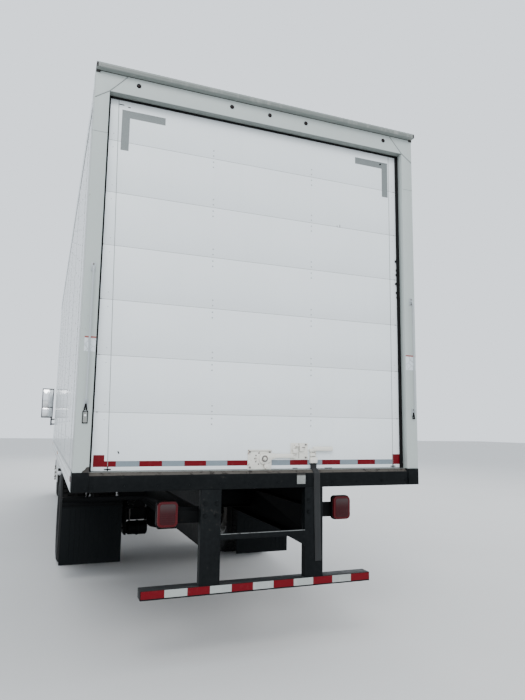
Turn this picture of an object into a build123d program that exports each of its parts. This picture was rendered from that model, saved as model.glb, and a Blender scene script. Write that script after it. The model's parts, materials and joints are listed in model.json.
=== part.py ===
"""Conventional-cab box truck with a 26 ft load body and a sectional roll-up rear door.

Millimetres. The front of the truck faces -Y and its left side +X. The origin is on the ground, under
the middle of the truck's overall length and width. Turned shapes that are large or hidden, such as
tyres and rims, have flat sides, and shafts that carry something are round.
"""

import math
import os

from build123d import *

os.makedirs("parts", exist_ok=True)

# Lengths along the truck
BODY_LENGTH = 7925.0
CAB_LENGTH = 2700.0
CAB_GAP = 100.0
CAP_PROUD = 45.0
FRONT_OVERHANG = 1015.0
REAR_OVERHANG = 3320.0

# Load body
BODY_WIDTH = 2591.0
BODY_WALL = 50.0
WALL_BOTTOM = 1115.0
WALL_HEIGHT = 2810.0
ROOF_THICKNESS = 60.0
ROOF_BEVEL = 25.0
RAIL_PROUD = 3.0
TOP_RAIL = 110.0
BOTTOM_RAIL = 130.0
NOSE_RADIUS = 45.0
FLOOR_THICKNESS = 35.0

# Rear frame and sill
POST_WIDTH = 100.0
POST_DEPTH = 62.0
POST_RETURN = 12.0
HEADER_HEIGHT = 137.0
HEADER_OVER_WALL = 68.0
CAP_HEIGHT = 37.0
SILL_HEIGHT = 123.0
SILL_DEPTH = 150.0
SILL_PROUD = 3.0
SILL_SLOPE = 38.0
SILL_FALL = 26.0

# Roll-up door
DOOR_RECESS = 70.0
PANEL_THICKNESS = 40.0
DOOR_OVERLAP = 30.0
PANEL_COUNT = 7
BOTTOM_PANEL = 386.0
PANEL_PITCH = 380.0
PANEL_BEVEL = 2.0
TONGUE = 12.0
TONGUE_HEIGHT = 8.0
JOINT_GAP = 0.3

# Chassis
FRAME_WIDTH = 864.0
FRAME_TOP = 990.0
FRAME_DEPTH = 255.0
FLANGE = 76.0
WEB = 8.0
LONGSILL_HEIGHT = 127.0
LONGSILL_WIDTH = 50.0
CROSS_HEIGHT = 83.0
CROSS_FLANGE = 50.0
CROSS_WEB = 6.0
CROSS_PITCH = 406.4

# Wheels and tyres
FACETS = 32
INNER_FACETS = 20
TYRE_RADIUS = 506.0
TYRE_WIDTH = 276.0
TREAD_WIDTH = 216.0
BEAD_WIDTH = 206.0
WIDEST_RADIUS = 396.0
RIM_RADIUS = 285.0
RIM_WIDTH = 210.0
RIM_WALL = 14.0
FIT = 0.3
FRONT_TRACK = 2000.0
DUAL_OUTER = 1130.0
DUAL_SPACING = 330.0
HUB_RADIUS = 90.0
DISC = 12.0

# Steering
KINGPIN_OFFSET = 140.0
KINGPIN_RADIUS = 22.0
BOSS_RADIUS = 40.0
BOSS_HEIGHT = 120.0
EAR = 27.0
EAR_GAP = 3.0
ARM_LENGTH = 190.0
SPINDLE_RADIUS = 35.0

# Cab
CAB_WALL = 60.0
CAB_FLOOR = 60.0
CAB_BOTTOM = 1040.0
BELT = 1700.0
EAVE = 2420.0
CAB_TOP = 2550.0
CAB_HALF = 1010.0
BELT_HALF = 1035.0
EAVE_HALF = 955.0
ROOF_HALF = 820.0
CAB_CORNER = 60.0
COWL_FOOT = 1440.0
COWL = 1425.0
SCREEN_TOP_AHEAD = 800.0
ROOF_FRONT_AHEAD = 600.0
ROOF_REAR_AHEAD = 100.0
EAVE_REAR_AHEAD = 20.0
FOOT_REAR_AHEAD = 10.0
SCREEN_BOW = 5740.0
DOOR_GAP = 11.0
DOOR_FRONT = 1670.0
DOOR_REAR_AHEAD = 160.0
DOOR_BOTTOM = 1110.0
DOOR_TOP = 2370.0
GLASS_RECESS = 15.0
GLASS = 6.0

# Hood
HOOD_SKIN = 10.0
HOOD_FRONT = 150.0
HOOD_REAR = 1395.0
FENDER_REAR = 1655.0
FENDER_HALF = 1180.0
ARCH_RADIUS = 600.0

OVERALL = CAP_PROUD + BODY_LENGTH + CAB_GAP + CAB_LENGTH
REAR_FACE = OVERALL / 2 - CAP_PROUD
FRONT = -OVERALL / 2
BODY_FRONT = REAR_FACE - BODY_LENGTH
FRONT_AXLE = FRONT + FRONT_OVERHANG
REAR_AXLE = REAR_FACE - REAR_OVERHANG
HALF_BODY = BODY_WIDTH / 2
HALF_FRAME = FRAME_WIDTH / 2
AXLE_Z = TYRE_RADIUS
FRAME_BOTTOM = FRAME_TOP - FRAME_DEPTH
LONGSILL_TOP = FRAME_TOP + LONGSILL_HEIGHT
CROSS_TOP = LONGSILL_TOP + CROSS_HEIGHT
FLOOR_TOP = CROSS_TOP + FLOOR_THICKNESS
WALL_TOP = WALL_BOTTOM + WALL_HEIGHT
HEADER_TOP = WALL_TOP + HEADER_OVER_WALL
HEADER_BOTTOM = HEADER_TOP - HEADER_HEIGHT
SILL_TOP = FLOOR_TOP + 15
SILL_BOTTOM = SILL_TOP - SILL_HEIGHT
KINGPIN_X = FRONT_TRACK / 2 - KINGPIN_OFFSET
SIDES = (("left", 1), ("right", -1))


def ahead(distance):
    """Y of a place that far ahead of the load body's rear face."""
    return REAR_FACE - distance


def behind(distance):
    """Y of a place that far behind the bumper's front."""
    return FRONT + distance


def before(distance):
    """Y of a place that far ahead of the cab's back."""
    return FRONT + CAB_LENGTH - distance


def write(piece, label):
    """Name a finished piece and write it."""
    piece.part.label = label
    export_step(piece.part, f"parts/{label}.step")


def block(x, y, z, mode=Mode.ADD):
    """Add or cut a box between two limits on each axis."""
    with Locations(((x[0] + x[1]) / 2, (y[0] + y[1]) / 2, (z[0] + z[1]) / 2)):
        Box(abs(x[1] - x[0]), abs(y[1] - y[0]), abs(z[1] - z[0]), mode=mode)


def prism(plane, outline, depth, inset=0.0, mode=Mode.ADD):
    """Extrude a closed outline, moved in by inset, from a plane."""
    with BuildSketch(plane) as profile:
        with BuildLine():
            Polyline(*outline, close=True)
        make_face()
        if inset:
            offset(amount=-inset, kind=Kind.INTERSECTION)
    extrude(profile.sketch, amount=depth, mode=mode)


def bar(plane, at, radius, length, sides=0, mode=Mode.ADD):
    """Extrude a round bar, or one with flat sides, from a place on a plane."""
    with BuildSketch(plane) as profile:
        with Locations(at):
            if sides:
                RegularPolygon(radius, sides, major_radius=False, rotation=180 / sides)
            else:
                Circle(radius)
    extrude(profile.sketch, amount=length, mode=mode)


def across(y):
    """The plane that faces forward at that Y."""
    return Plane.XZ.offset(-y)


def bevelled(x, z, corner, gap=0.0, bends=1):
    """Outline between two X and two Z limits, less a gap, with corners rounded in a few flats."""
    outline = []
    for quarter, (right, high) in enumerate(((1, 1), (0, 1), (0, 0), (1, 0))):
        centre_x = x[right] - (2 * right - 1) * (gap + corner)
        centre_z = z[high] - (2 * high - 1) * (gap + corner)
        for step in range(bends + 1):
            turn = (quarter + step / bends) * math.pi / 2
            outline.append((centre_x + corner * math.cos(turn), centre_z + corner * math.sin(turn)))
    return outline


def skinned(levels):
    """A solid with flat faces through matching outlines, one after the other."""
    faces = [Face(Wire.make_polygon(levels[0])), Face(Wire.make_polygon(levels[-1]))]
    for near, far in zip(levels, levels[1:]):
        for index, corner in enumerate(near):
            after = (index + 1) % len(near)
            faces.append(Face(Wire.make_polygon([corner, near[after], far[after], far[index]])))
    return Solid(Shell(faces))


def around(radius, sides):
    """Corners of a polygon with flat sides at that radius, one of them at the bottom."""
    reach = radius / math.cos(math.pi / sides)
    turns = [(index + 0.5) * 2 * math.pi / sides for index in range(sides)]
    return [(reach * math.cos(turn), reach * math.sin(turn)) for turn in turns]


def turned(axle, middle, side, sections, sides=FACETS):
    """A flat-sided turned shape through sections of (outward from its middle, radius)."""
    levels = []
    for outward, radius in sections:
        x = side * (middle + outward)
        levels.append([(x, axle + y, AXLE_Z + z) for y, z in around(radius, sides)])
    return skinned(levels)


# Chassis frame: channel rails and crossmembers, hood pivots, lamp brackets and flap arms
CROSSMEMBERS = (
    # ahead of the rear face
    1500.0,
    2450.0,
    3850.0,
    5300.0,
    7000.0,
    8300.0,
)
CROSSMEMBER_DEPTH = 180.0
CROSSMEMBER_FLANGE = 40.0
BUMPER_THICKNESS = 30.0
RAIL_START = 240.0
HORN_BOTTOM = 640.0
HORN_END = 330.0
PIVOT_STATION = 165.0
PIVOT_Z = 770.0
PIVOT_PIN = 10.0
PIVOT_EAR = 22.0
PIVOT_EAR_X = (440.0, 465.0)
PIVOT_LUG_X = (470.0, 500.0)
RADIATOR_STATION = 380.0
RADIATOR_SEAT = 45.0
TAIL_X = (590.0, 737.0)
TAIL_Z = (872.0, 1048.0)
TAIL_FACE = 85.0
TAIL_DEPTH = 55.0
FLAP_STATION = 2395.0
FLAPS = {1: (660.0, 1262.0), -1: (602.0, 1212.0)}
FLAP_BOTTOM = 160.0
ARM_BOTTOM = 780.0
ARM_SIZE = 40.0
ARM_PLATE = 8.0
FRAME_INNER = HALF_FRAME - WEB
CROSSMEMBER_TOP = FRAME_TOP - WEB
CROSSMEMBER_BOTTOM = CROSSMEMBER_TOP - CROSSMEMBER_DEPTH

with BuildPart() as chassis_frame:
    for name, sign in SIDES:
        outer = sign * HALF_FRAME
        inner = sign * FRAME_INNER
        tip = sign * (HALF_FRAME - FLANGE)
        rail_end = ahead(POST_DEPTH)
        prism(
            across(rail_end),
            (
                (outer, FRAME_BOTTOM),
                (outer, FRAME_TOP),
                (tip, FRAME_TOP),
                (tip, FRAME_TOP - WEB),
                (inner, FRAME_TOP - WEB),
                (inner, FRAME_BOTTOM + WEB),
                (tip, FRAME_BOTTOM + WEB),
                (tip, FRAME_BOTTOM),
            ),
            rail_end - behind(RAIL_START),
        )
        block((tip, outer), (behind(BUMPER_THICKNESS), behind(HORN_END)), (HORN_BOTTOM, FRAME_BOTTOM))
        ear = Plane.YZ.offset(sign * PIVOT_EAR_X[0])
        ear_width = sign * (PIVOT_EAR_X[1] - PIVOT_EAR_X[0])
        bar(ear, (behind(PIVOT_STATION), PIVOT_Z), PIVOT_EAR, ear_width, sides=8)
        block(
            (outer, sign * PIVOT_EAR_X[1]),
            (behind(PIVOT_STATION) - PIVOT_EAR, behind(PIVOT_STATION) + PIVOT_EAR),
            (HORN_BOTTOM + 30, PIVOT_Z),
        )
        pin = Plane.YZ.offset(sign * PIVOT_EAR_X[1])
        bar(pin, (behind(PIVOT_STATION), PIVOT_Z), PIVOT_PIN, sign * (PIVOT_LUG_X[1] - PIVOT_EAR_X[1]))
        block(
            (outer, sign * TAIL_X[1]),
            (ahead(TAIL_FACE + TAIL_DEPTH), ahead(TAIL_FACE + TAIL_DEPTH + 10)),
            (TAIL_Z[0] + 20, FRAME_TOP - 20),
        )
        flap_inner, flap_outer = FLAPS[sign]
        block(
            (outer, sign * flap_outer),
            (ahead(FLAP_STATION) - ARM_SIZE / 2, ahead(FLAP_STATION) + ARM_SIZE / 2),
            (ARM_BOTTOM, ARM_BOTTOM + ARM_SIZE),
        )
        prism(
            across(ahead(FLAP_STATION) + ARM_PLATE / 2),
            (
                (outer, ARM_BOTTOM + ARM_SIZE),
                (outer, FRAME_TOP - 20),
                (sign * flap_inner, FRAME_TOP - 20),
                (sign * (flap_inner + 40), ARM_BOTTOM + ARM_SIZE),
            ),
            ARM_PLATE,
        )
    for station in CROSSMEMBERS:
        low = CROSSMEMBER_BOTTOM
        high = CROSSMEMBER_TOP
        near = ahead(station)
        far = near + CROSSMEMBER_FLANGE
        prism(
            Plane.YZ.offset(-FRAME_INNER),
            (
                (near, low),
                (far, low),
                (far, low + WEB),
                (near + WEB, low + WEB),
                (near + WEB, high - WEB),
                (far, high - WEB),
                (far, high),
                (near, high),
            ),
            2 * FRAME_INNER,
        )
    block(
        (-FRAME_INNER, FRAME_INNER),
        (behind(RADIATOR_STATION) - 60, behind(RADIATOR_STATION) + 60),
        (FRAME_BOTTOM + WEB, FRAME_BOTTOM + RADIATOR_SEAT),
    )
write(chassis_frame, "chassis_frame")

# Leaf springs: stepped packs, bent in short straight lengths, with a hanger at each eye
SPRING_WIDTH = 76.0
REAR_SPRING_X = 508.0
FRONT_SPRING_X = 394.0
REAR_AXLE_HALF = 65.0
BEAM_TOP = 480.0
LEAF = 22.0
LEAF_COUNT = 3
LEAF_BENDS = 4
HANGER = 35.0
SPRINGS = (
    # axle's Y, middle's X, half length, seat's height, eye's height, hanger's outer X, hanger's top
    (REAR_AXLE, REAR_SPRING_X, 680.0, AXLE_Z + REAR_AXLE_HALF, 790.0, REAR_SPRING_X + 38, 850.0),
    (FRONT_AXLE, FRONT_SPRING_X, 640.0, BEAM_TOP, 690.0, FRONT_SPRING_X + 38, FRAME_BOTTOM),
)


def spring_outline(axle, half, seat, eye):
    """Side view of a leaf pack: the long leaf on top and shorter ones stepped under it."""
    pack = LEAF * LEAF_COUNT
    rise = eye - seat - pack
    steps = []
    for station in range(LEAF_BENDS, 0, -1):
        leaves = min(LEAF_COUNT, LEAF_BENDS + 1 - station)
        steps += [(station, leaves), (station - 1, leaves)]
    steps += [(-station, leaves) for station, leaves in reversed(steps)]
    route = [(station, 0) for station in range(-LEAF_BENDS, LEAF_BENDS + 1)]
    route += [step for index, step in enumerate(steps) if index == 0 or step != steps[index - 1]]
    return [
        (
            axle + half * station / LEAF_BENDS,
            seat + pack + rise * (station / LEAF_BENDS) ** 2 - LEAF * leaves,
        )
        for station, leaves in route
    ]


with BuildPart() as leaf_springs:
    for axle, middle, half, seat, eye, hanger_x, hanger_top in SPRINGS:
        for name, sign in SIDES:
            start = Plane.YZ.offset(sign * middle - SPRING_WIDTH / 2)
            prism(start, spring_outline(axle, half, seat, eye), SPRING_WIDTH)
            for end in (-1, 1):
                tip_y = axle + end * half
                block(
                    (sign * min(HALF_FRAME, hanger_x - 38), sign * hanger_x),
                    (tip_y - HANGER, tip_y + HANGER),
                    (eye - HANGER, hanger_top),
                )
write(leaf_springs, "leaf_springs")

# Front axle: a dropped beam with a kingpin boss at each end
BEAM_BOTTOM = 390.0
BEAM_DEPTH = 90.0
BEAM_END = 45.0
PAD_X = 480.0
PAD_SLOPE = 110.0

with BuildPart() as front_axle:
    prism(
        across(FRONT_AXLE + BEAM_DEPTH / 2),
        (
            (-KINGPIN_X, AXLE_Z + BEAM_END),
            (-PAD_X - PAD_SLOPE, BEAM_TOP),
            (PAD_X + PAD_SLOPE, BEAM_TOP),
            (KINGPIN_X, AXLE_Z + BEAM_END),
            (KINGPIN_X, AXLE_Z - BEAM_END),
            (PAD_X, BEAM_BOTTOM),
            (-PAD_X, BEAM_BOTTOM),
            (-KINGPIN_X, AXLE_Z - BEAM_END),
        ),
        BEAM_DEPTH,
    )
    foot = Plane.XY.offset(AXLE_Z - BOSS_HEIGHT / 2)
    for name, sign in SIDES:
        kingpin = (sign * KINGPIN_X, FRONT_AXLE)
        bar(foot, kingpin, BOSS_RADIUS, BOSS_HEIGHT, sides=12)
        bar(foot, kingpin, KINGPIN_RADIUS + FIT, BOSS_HEIGHT, 12, Mode.SUBTRACT)
write(front_axle, "front_axle")

# Steering knuckles: ears round the boss, kingpin, spindle and a rearward arm
EAR_HALF = 40.0
PLATE_IN = 47.0
PLATE_OUT = 75.0
PLATE_HALF = 50.0
ARM_HALF = 22.0
ARM_THICKNESS = 26.0
ROD_HALF = 11.0
ROD_PIN = 9.0
ROD_EYE = 26.0
ROD_EYE_HEIGHT = 24.0
EYE_GAP = 0.4
SPINDLE_LENGTH = 150.0
BOSS_TOP = AXLE_Z + BOSS_HEIGHT / 2
BOSS_BOTTOM = AXLE_Z - BOSS_HEIGHT / 2
EAR_TOP = BOSS_TOP + EAR_GAP + EAR
ARM_TOP = BOSS_BOTTOM - EAR_GAP
ARM_Z = ARM_TOP - ARM_THICKNESS
EYE_TOP = ARM_Z - EYE_GAP
EYE_FOOT = EYE_TOP - ROD_EYE_HEIGHT
ROD_Y = FRONT_AXLE + ARM_LENGTH

for name, sign in SIDES:
    pin_x = sign * KINGPIN_X
    plate = (pin_x + sign * PLATE_IN, pin_x + sign * PLATE_OUT)
    with BuildPart() as knuckle:
        bar(Plane.XY.offset(ARM_Z), (pin_x, FRONT_AXLE), KINGPIN_RADIUS, EAR_TOP - ARM_Z)
        for low, high in ((BOSS_TOP + EAR_GAP, EAR_TOP), (ARM_Z, ARM_TOP)):
            block(
                (pin_x - sign * EAR_HALF, plate[1]),
                (FRONT_AXLE - EAR_HALF, FRONT_AXLE + EAR_HALF),
                (low, high),
            )
        block(plate, (FRONT_AXLE - PLATE_HALF, FRONT_AXLE + PLATE_HALF), (ARM_Z, EAR_TOP))
        block((pin_x - ARM_HALF, pin_x + ARM_HALF), (FRONT_AXLE, ROD_Y + ARM_HALF), (ARM_Z, ARM_TOP))
        bar(Plane.XY.offset(EYE_FOOT), (pin_x, ROD_Y), ROD_PIN, ARM_Z - EYE_FOOT)
        spindle_end = FRONT_TRACK / 2 + SPINDLE_LENGTH
        bar(
            Plane.YZ.offset(plate[1]),
            (FRONT_AXLE, AXLE_Z),
            SPINDLE_RADIUS,
            sign * (spindle_end - KINGPIN_X - PLATE_OUT),
        )
    write(knuckle, f"knuckle_{name}")

with BuildPart() as tie_rod:
    block(
        (-KINGPIN_X, KINGPIN_X),
        (ROD_Y - ROD_HALF, ROD_Y + ROD_HALF),
        (EYE_FOOT + EYE_GAP, EYE_FOOT + EYE_GAP + 2 * ROD_HALF),
    )
    for name, sign in SIDES:
        eye_at = (sign * KINGPIN_X, ROD_Y)
        bar(Plane.XY.offset(EYE_FOOT), eye_at, ROD_EYE, ROD_EYE_HEIGHT, sides=8)
        bar(Plane.XY.offset(EYE_FOOT), eye_at, ROD_PIN + FIT, ROD_EYE_HEIGHT, 8, Mode.SUBTRACT)
write(tie_rod, "tie_rod")

# Rims, as (outward from the wheel's middle, radius): a barrel, a dished disc and a hub
HALF_RIM = RIM_WIDTH / 2
INNER_RIM = RIM_RADIUS - RIM_WALL
DISC_EDGE = RIM_RADIUS - RIM_WALL / 2
DISC_FACE = 165.0
HUB_FACE = 155.0
HUB_SIDES = 12
FRONT_HUB = (-20.0, 185.0, 200.0)
BORE_WALL = 20.0
DISC_RIM = 80.0
REAR_HUB = (-120.0, 118.0, 130.0)
REAR_SPINDLE = 48.0
DUAL_MIDDLE = DUAL_OUTER - DUAL_SPACING / 2


def barrel(axle, middle, side):
    """The rim's barrel, which the tyre sits on."""
    with BuildPart() as shape:
        add(turned(axle, middle, side, ((-HALF_RIM, RIM_RADIUS), (HALF_RIM, RIM_RADIUS))))
        bore = ((-HALF_RIM, INNER_RIM), (HALF_RIM, INNER_RIM))
        add(turned(axle, middle, side, bore, INNER_FACETS), mode=Mode.SUBTRACT)
    return shape.part


def dish(axle, middle, side, hub_end, rim_end):
    """A dished disc, flat near the hub, whose edge is welded into the barrel."""
    step = math.copysign(DISC, rim_end - hub_end)
    with BuildPart() as shape:
        cone = ((hub_end, DISC_FACE), (rim_end, DISC_EDGE))
        add(turned(axle, middle, side, cone, INNER_FACETS))
        hollow = ((hub_end + step, DISC_FACE), (rim_end + step, DISC_EDGE))
        add(turned(axle, middle, side, hollow, INNER_FACETS), mode=Mode.SUBTRACT)
    return shape.part


def hub(axle, middle, side, stations):
    """A hub with a bevelled cap."""
    start, shoulder, end = stations
    outline = ((start, HUB_RADIUS), (shoulder, HUB_RADIUS), (end, HUB_RADIUS - BORE_WALL))
    return turned(axle, middle, side, outline, HUB_SIDES)


for name, sign in SIDES:
    with BuildPart() as rim:
        middle = FRONT_TRACK / 2
        add(barrel(FRONT_AXLE, middle, sign))
        add(dish(FRONT_AXLE, middle, sign, HUB_FACE + DISC, HALF_RIM - 12))
        add(hub(FRONT_AXLE, middle, sign, FRONT_HUB))
        bar(
            Plane.YZ.offset(sign * (middle + FRONT_HUB[0])),
            (FRONT_AXLE, AXLE_Z),
            SPINDLE_RADIUS + FIT,
            sign * (FRONT_HUB[1] - FRONT_HUB[0]),
            mode=Mode.SUBTRACT,
        )
    write(rim, f"rim_front_{name}")
    with BuildPart() as rims:
        for middle, rim_end in ((DUAL_OUTER, DISC_RIM), (DUAL_OUTER - DUAL_SPACING, -DISC_RIM)):
            add(barrel(REAR_AXLE, middle, sign))
            add(dish(REAR_AXLE, DUAL_MIDDLE, sign, 0.0, rim_end))
        add(hub(REAR_AXLE, DUAL_MIDDLE, sign, REAR_HUB))
        bar(
            Plane.YZ.offset(sign * (DUAL_MIDDLE + REAR_HUB[0])),
            (REAR_AXLE, AXLE_Z),
            REAR_SPINDLE + FIT,
            sign * (REAR_HUB[1] - BORE_WALL / 2 - REAR_HUB[0]),
            mode=Mode.SUBTRACT,
        )
    write(rims, f"rims_rear_{name}")

# Tyres: tread and sidewalls outside, and sides that draw in to the beads inside
TYRE_OUTSIDE = (
    (-TYRE_WIDTH / 2, WIDEST_RADIUS),
    (-TREAD_WIDTH / 2, TYRE_RADIUS),
    (TREAD_WIDTH / 2, TYRE_RADIUS),
    (TYRE_WIDTH / 2, WIDEST_RADIUS),
)
TYRE_INSIDE = (
    (-TYRE_WIDTH / 2, WIDEST_RADIUS),
    (-BEAD_WIDTH / 2, RIM_RADIUS + FIT),
    (BEAD_WIDTH / 2, RIM_RADIUS + FIT),
    (TYRE_WIDTH / 2, WIDEST_RADIUS),
)

for name, sign in SIDES:
    with BuildPart() as tyre:
        add(turned(FRONT_AXLE, FRONT_TRACK / 2, sign, TYRE_OUTSIDE))
        add(turned(FRONT_AXLE, FRONT_TRACK / 2, sign, TYRE_INSIDE), mode=Mode.SUBTRACT)
    write(tyre, f"tyre_front_{name}")
    with BuildPart() as tyres:
        for middle in (DUAL_OUTER, DUAL_OUTER - DUAL_SPACING):
            add(turned(REAR_AXLE, middle, sign, TYRE_OUTSIDE))
            add(turned(REAR_AXLE, middle, sign, TYRE_INSIDE), mode=Mode.SUBTRACT)
    write(tyres, f"tyres_rear_{name}")

# Rear axle: square tube, differential housing, pinion nose and spindles
TUBE_END = DUAL_OUTER - DUAL_SPACING - TYRE_WIDTH / 2 - 4
DIFF_RADIUS = 195.0
DIFF_HALF = 110.0
DIFF_BULGE = 150.0
DIFF_FACE = 120.0
PINION_RADIUS = 85.0
PINION_LENGTH = 340.0
SPINDLE_REACH = DUAL_MIDDLE + REAR_HUB[1] - BORE_WALL

with BuildPart() as rear_axle:
    block(
        (-TUBE_END, TUBE_END),
        (REAR_AXLE - REAR_AXLE_HALF, REAR_AXLE + REAR_AXLE_HALF),
        (AXLE_Z - REAR_AXLE_HALF, AXLE_Z + REAR_AXLE_HALF),
    )
    for name, sign in SIDES:
        bar(
            Plane.YZ.offset(sign * TUBE_END),
            (REAR_AXLE, AXLE_Z),
            REAR_SPINDLE,
            sign * (SPINDLE_REACH - TUBE_END),
        )
    banjo = (
        (-DIFF_BULGE, DIFF_FACE),
        (-DIFF_HALF, DIFF_RADIUS),
        (DIFF_HALF, DIFF_RADIUS),
        (DIFF_BULGE, DIFF_FACE),
    )
    add(turned(REAR_AXLE, 0, 1, banjo, 12))
    bar(across(REAR_AXLE), (0, AXLE_Z), PINION_RADIUS, PINION_LENGTH, sides=12)
write(rear_axle, "rear_axle")

# Engine with its gearbox, one plain block carried on the rails
ENGINE_START = 560.0
ENGINE_END = 1400.0
GEARBOX_END = 2250.0
ENGINE_HALF = 300.0
GEARBOX_HALF = 190.0
ENGINE_BOTTOM = 590.0
ENGINE_TOP = 1380.0
GEARBOX_BOTTOM = 630.0
GEARBOX_TOP = 975.0
ENGINE_MOUNTS = (950.0, 2000.0)
MOUNT_Z = (835.0, 875.0)

with BuildPart() as engine:
    block((-ENGINE_HALF, ENGINE_HALF), (behind(ENGINE_START), behind(ENGINE_END)), (ENGINE_BOTTOM, ENGINE_TOP))
    block(
        (-GEARBOX_HALF, GEARBOX_HALF),
        (behind(ENGINE_END), behind(GEARBOX_END)),
        (GEARBOX_BOTTOM, GEARBOX_TOP),
    )
    for station in ENGINE_MOUNTS:
        block((-FRAME_INNER, FRAME_INNER), (behind(station) - 40, behind(station) + 40), MOUNT_Z)
write(engine, "engine")

# Driveshaft: a level front shaft through hanging bearings, then one shaft down to the axle
SHAFT_RADIUS = 50.0
SHAFT_SIDES = 12
SHAFT_Z = 730.0
COUPLING = 40.0
BEARINGS = (CROSSMEMBERS[4], CROSSMEMBERS[3])
BEARING_HALF = 25.0
SHAFT_BREAK = ahead(BEARINGS[1])
PINION_Y = REAR_AXLE - PINION_LENGTH
SHAFT_RUN = PINION_Y - COUPLING - SHAFT_BREAK

with BuildPart() as driveshaft:
    bar(across(SHAFT_BREAK), (0, SHAFT_Z), SHAFT_RADIUS, SHAFT_BREAK - behind(GEARBOX_END), SHAFT_SIDES)
    fall = Plane(
        origin=(0, SHAFT_BREAK, SHAFT_Z),
        x_dir=(1, 0, 0),
        z_dir=(0, SHAFT_RUN, AXLE_Z - SHAFT_Z),
    )
    bar(fall, (0, 0), SHAFT_RADIUS, math.hypot(SHAFT_RUN, AXLE_Z - SHAFT_Z), SHAFT_SIDES)
    bar(across(PINION_Y), (0, AXLE_Z), SHAFT_RADIUS + 12, 60, SHAFT_SIDES)
    for station in BEARINGS:
        block(
            (-30, 30),
            (ahead(station) - BEARING_HALF, ahead(station) + BEARING_HALF),
            (SHAFT_Z, CROSSMEMBER_BOTTOM),
        )
write(driveshaft, "driveshaft")

# Fuel tank and battery box, hung on the rails under the doors with two steps each
TANK_INNER = 460.0
TANK_OUTER = 1020.0
TANK_BOTTOM = 430.0
TANK_TOP = 960.0
TANK_START = 1730.0
TANK_END_AHEAD = 80.0
BOX_END_AHEAD = 220.0
TANK_CORNER = 120.0
BOX_CORNER = 30.0
STEP_WIDTH = 130.0
STEP_THICKNESS = 30.0
STEP_HEIGHTS = (560.0, 800.0)
HANGER_INSET = 120.0
CHASSIS_BOXES = (
    # name, side, its end ahead of the cab's back, corner radius, flats round each corner
    ("fuel_tank", 1, TANK_END_AHEAD, TANK_CORNER, 4),
    ("battery_box", -1, BOX_END_AHEAD, BOX_CORNER, 1),
)

for name, sign, end_ahead, corner, bends in CHASSIS_BOXES:
    start = behind(TANK_START)
    end = before(end_ahead)
    with BuildPart() as tank:
        span = (TANK_INNER, TANK_OUTER)
        outline = bevelled(span, (TANK_BOTTOM, TANK_TOP), corner, bends=bends)
        prism(across(end), [(sign * x, z) for x, z in outline], end - start)
        for height in STEP_HEIGHTS:
            block(
                (sign * TANK_OUTER, sign * (TANK_OUTER + STEP_WIDTH)),
                (start + 60, end - 160),
                (height, height + STEP_THICKNESS),
            )
        for hanger in (start + HANGER_INSET, end - HANGER_INSET):
            block(
                (sign * HALF_FRAME, sign * TANK_INNER),
                (hanger - 30, hanger + 30),
                (FRAME_BOTTOM + 20, TANK_TOP - TANK_CORNER),
            )
    write(tank, name)

# Air tanks slung below a crossmember, and the exhaust on the right rail behind the cab
AIR_RADIUS = 110.0
AIR_X = 225.0
AIR_STATION = CROSSMEMBERS[3]
AIR_LENGTH = 720.0
AIR_DOME = 50.0
MUFFLER_X = 620.0
MUFFLER_Z = 760.0
MUFFLER_RADIUS = 140.0
MUFFLER_LENGTH = 1200.0
PIPE_RADIUS = 50.0
TAILPIPE = 900.0
BRACKET_Z = (MUFFLER_Z + 60, MUFFLER_Z + 110)

with BuildPart() as air_tanks:
    for name, sign in SIDES:
        levels = []
        for y, radius in (
            (-AIR_LENGTH / 2, AIR_RADIUS - AIR_DOME),
            (-AIR_LENGTH / 2 + AIR_DOME, AIR_RADIUS),
            (AIR_LENGTH / 2 - AIR_DOME, AIR_RADIUS),
            (AIR_LENGTH / 2, AIR_RADIUS - AIR_DOME),
        ):
            place = (sign * AIR_X, ahead(AIR_STATION) + y, CROSSMEMBER_BOTTOM - AIR_RADIUS)
            levels.append([(place[0] + x, place[1], place[2] + z) for x, z in around(radius, 16)])
        add(skinned(levels))
write(air_tanks, "air_tanks")

with BuildPart() as exhaust:
    muffler_start = before(0)
    muffler_end = muffler_start + MUFFLER_LENGTH
    bar(across(muffler_end), (-MUFFLER_X, MUFFLER_Z), MUFFLER_RADIUS, MUFFLER_LENGTH, sides=16)
    bar(across(muffler_end + TAILPIPE), (-MUFFLER_X, MUFFLER_Z), PIPE_RADIUS, TAILPIPE, sides=12)
    for y in (muffler_start + 230, muffler_end - 230):
        block((-MUFFLER_X, -HALF_FRAME), (y - 30, y + 30), BRACKET_Z)
write(exhaust, "exhaust")

# Radiator on its seat between the rails
RADIATOR_HALF = 340.0
RADIATOR_TOP = 1360.0
RADIATOR_THICKNESS = 100.0

with BuildPart() as radiator:
    block(
        (-RADIATOR_HALF, RADIATOR_HALF),
        (behind(RADIATOR_STATION) - RADIATOR_THICKNESS / 2, behind(RADIATOR_STATION) + RADIATOR_THICKNESS / 2),
        (FRAME_BOTTOM + RADIATOR_SEAT, RADIATOR_TOP),
    )
write(radiator, "radiator")

# Front bumper: a shell, straight across the middle and swept back at the ends
BUMPER_BOTTOM = 430.0
BUMPER_TOP = 760.0
BUMPER_HALF = 1190.0
BUMPER_STRAIGHT = 620.0
BUMPER_SWEEP = 330.0
BUMPER_RADIUS = 680.0

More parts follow.
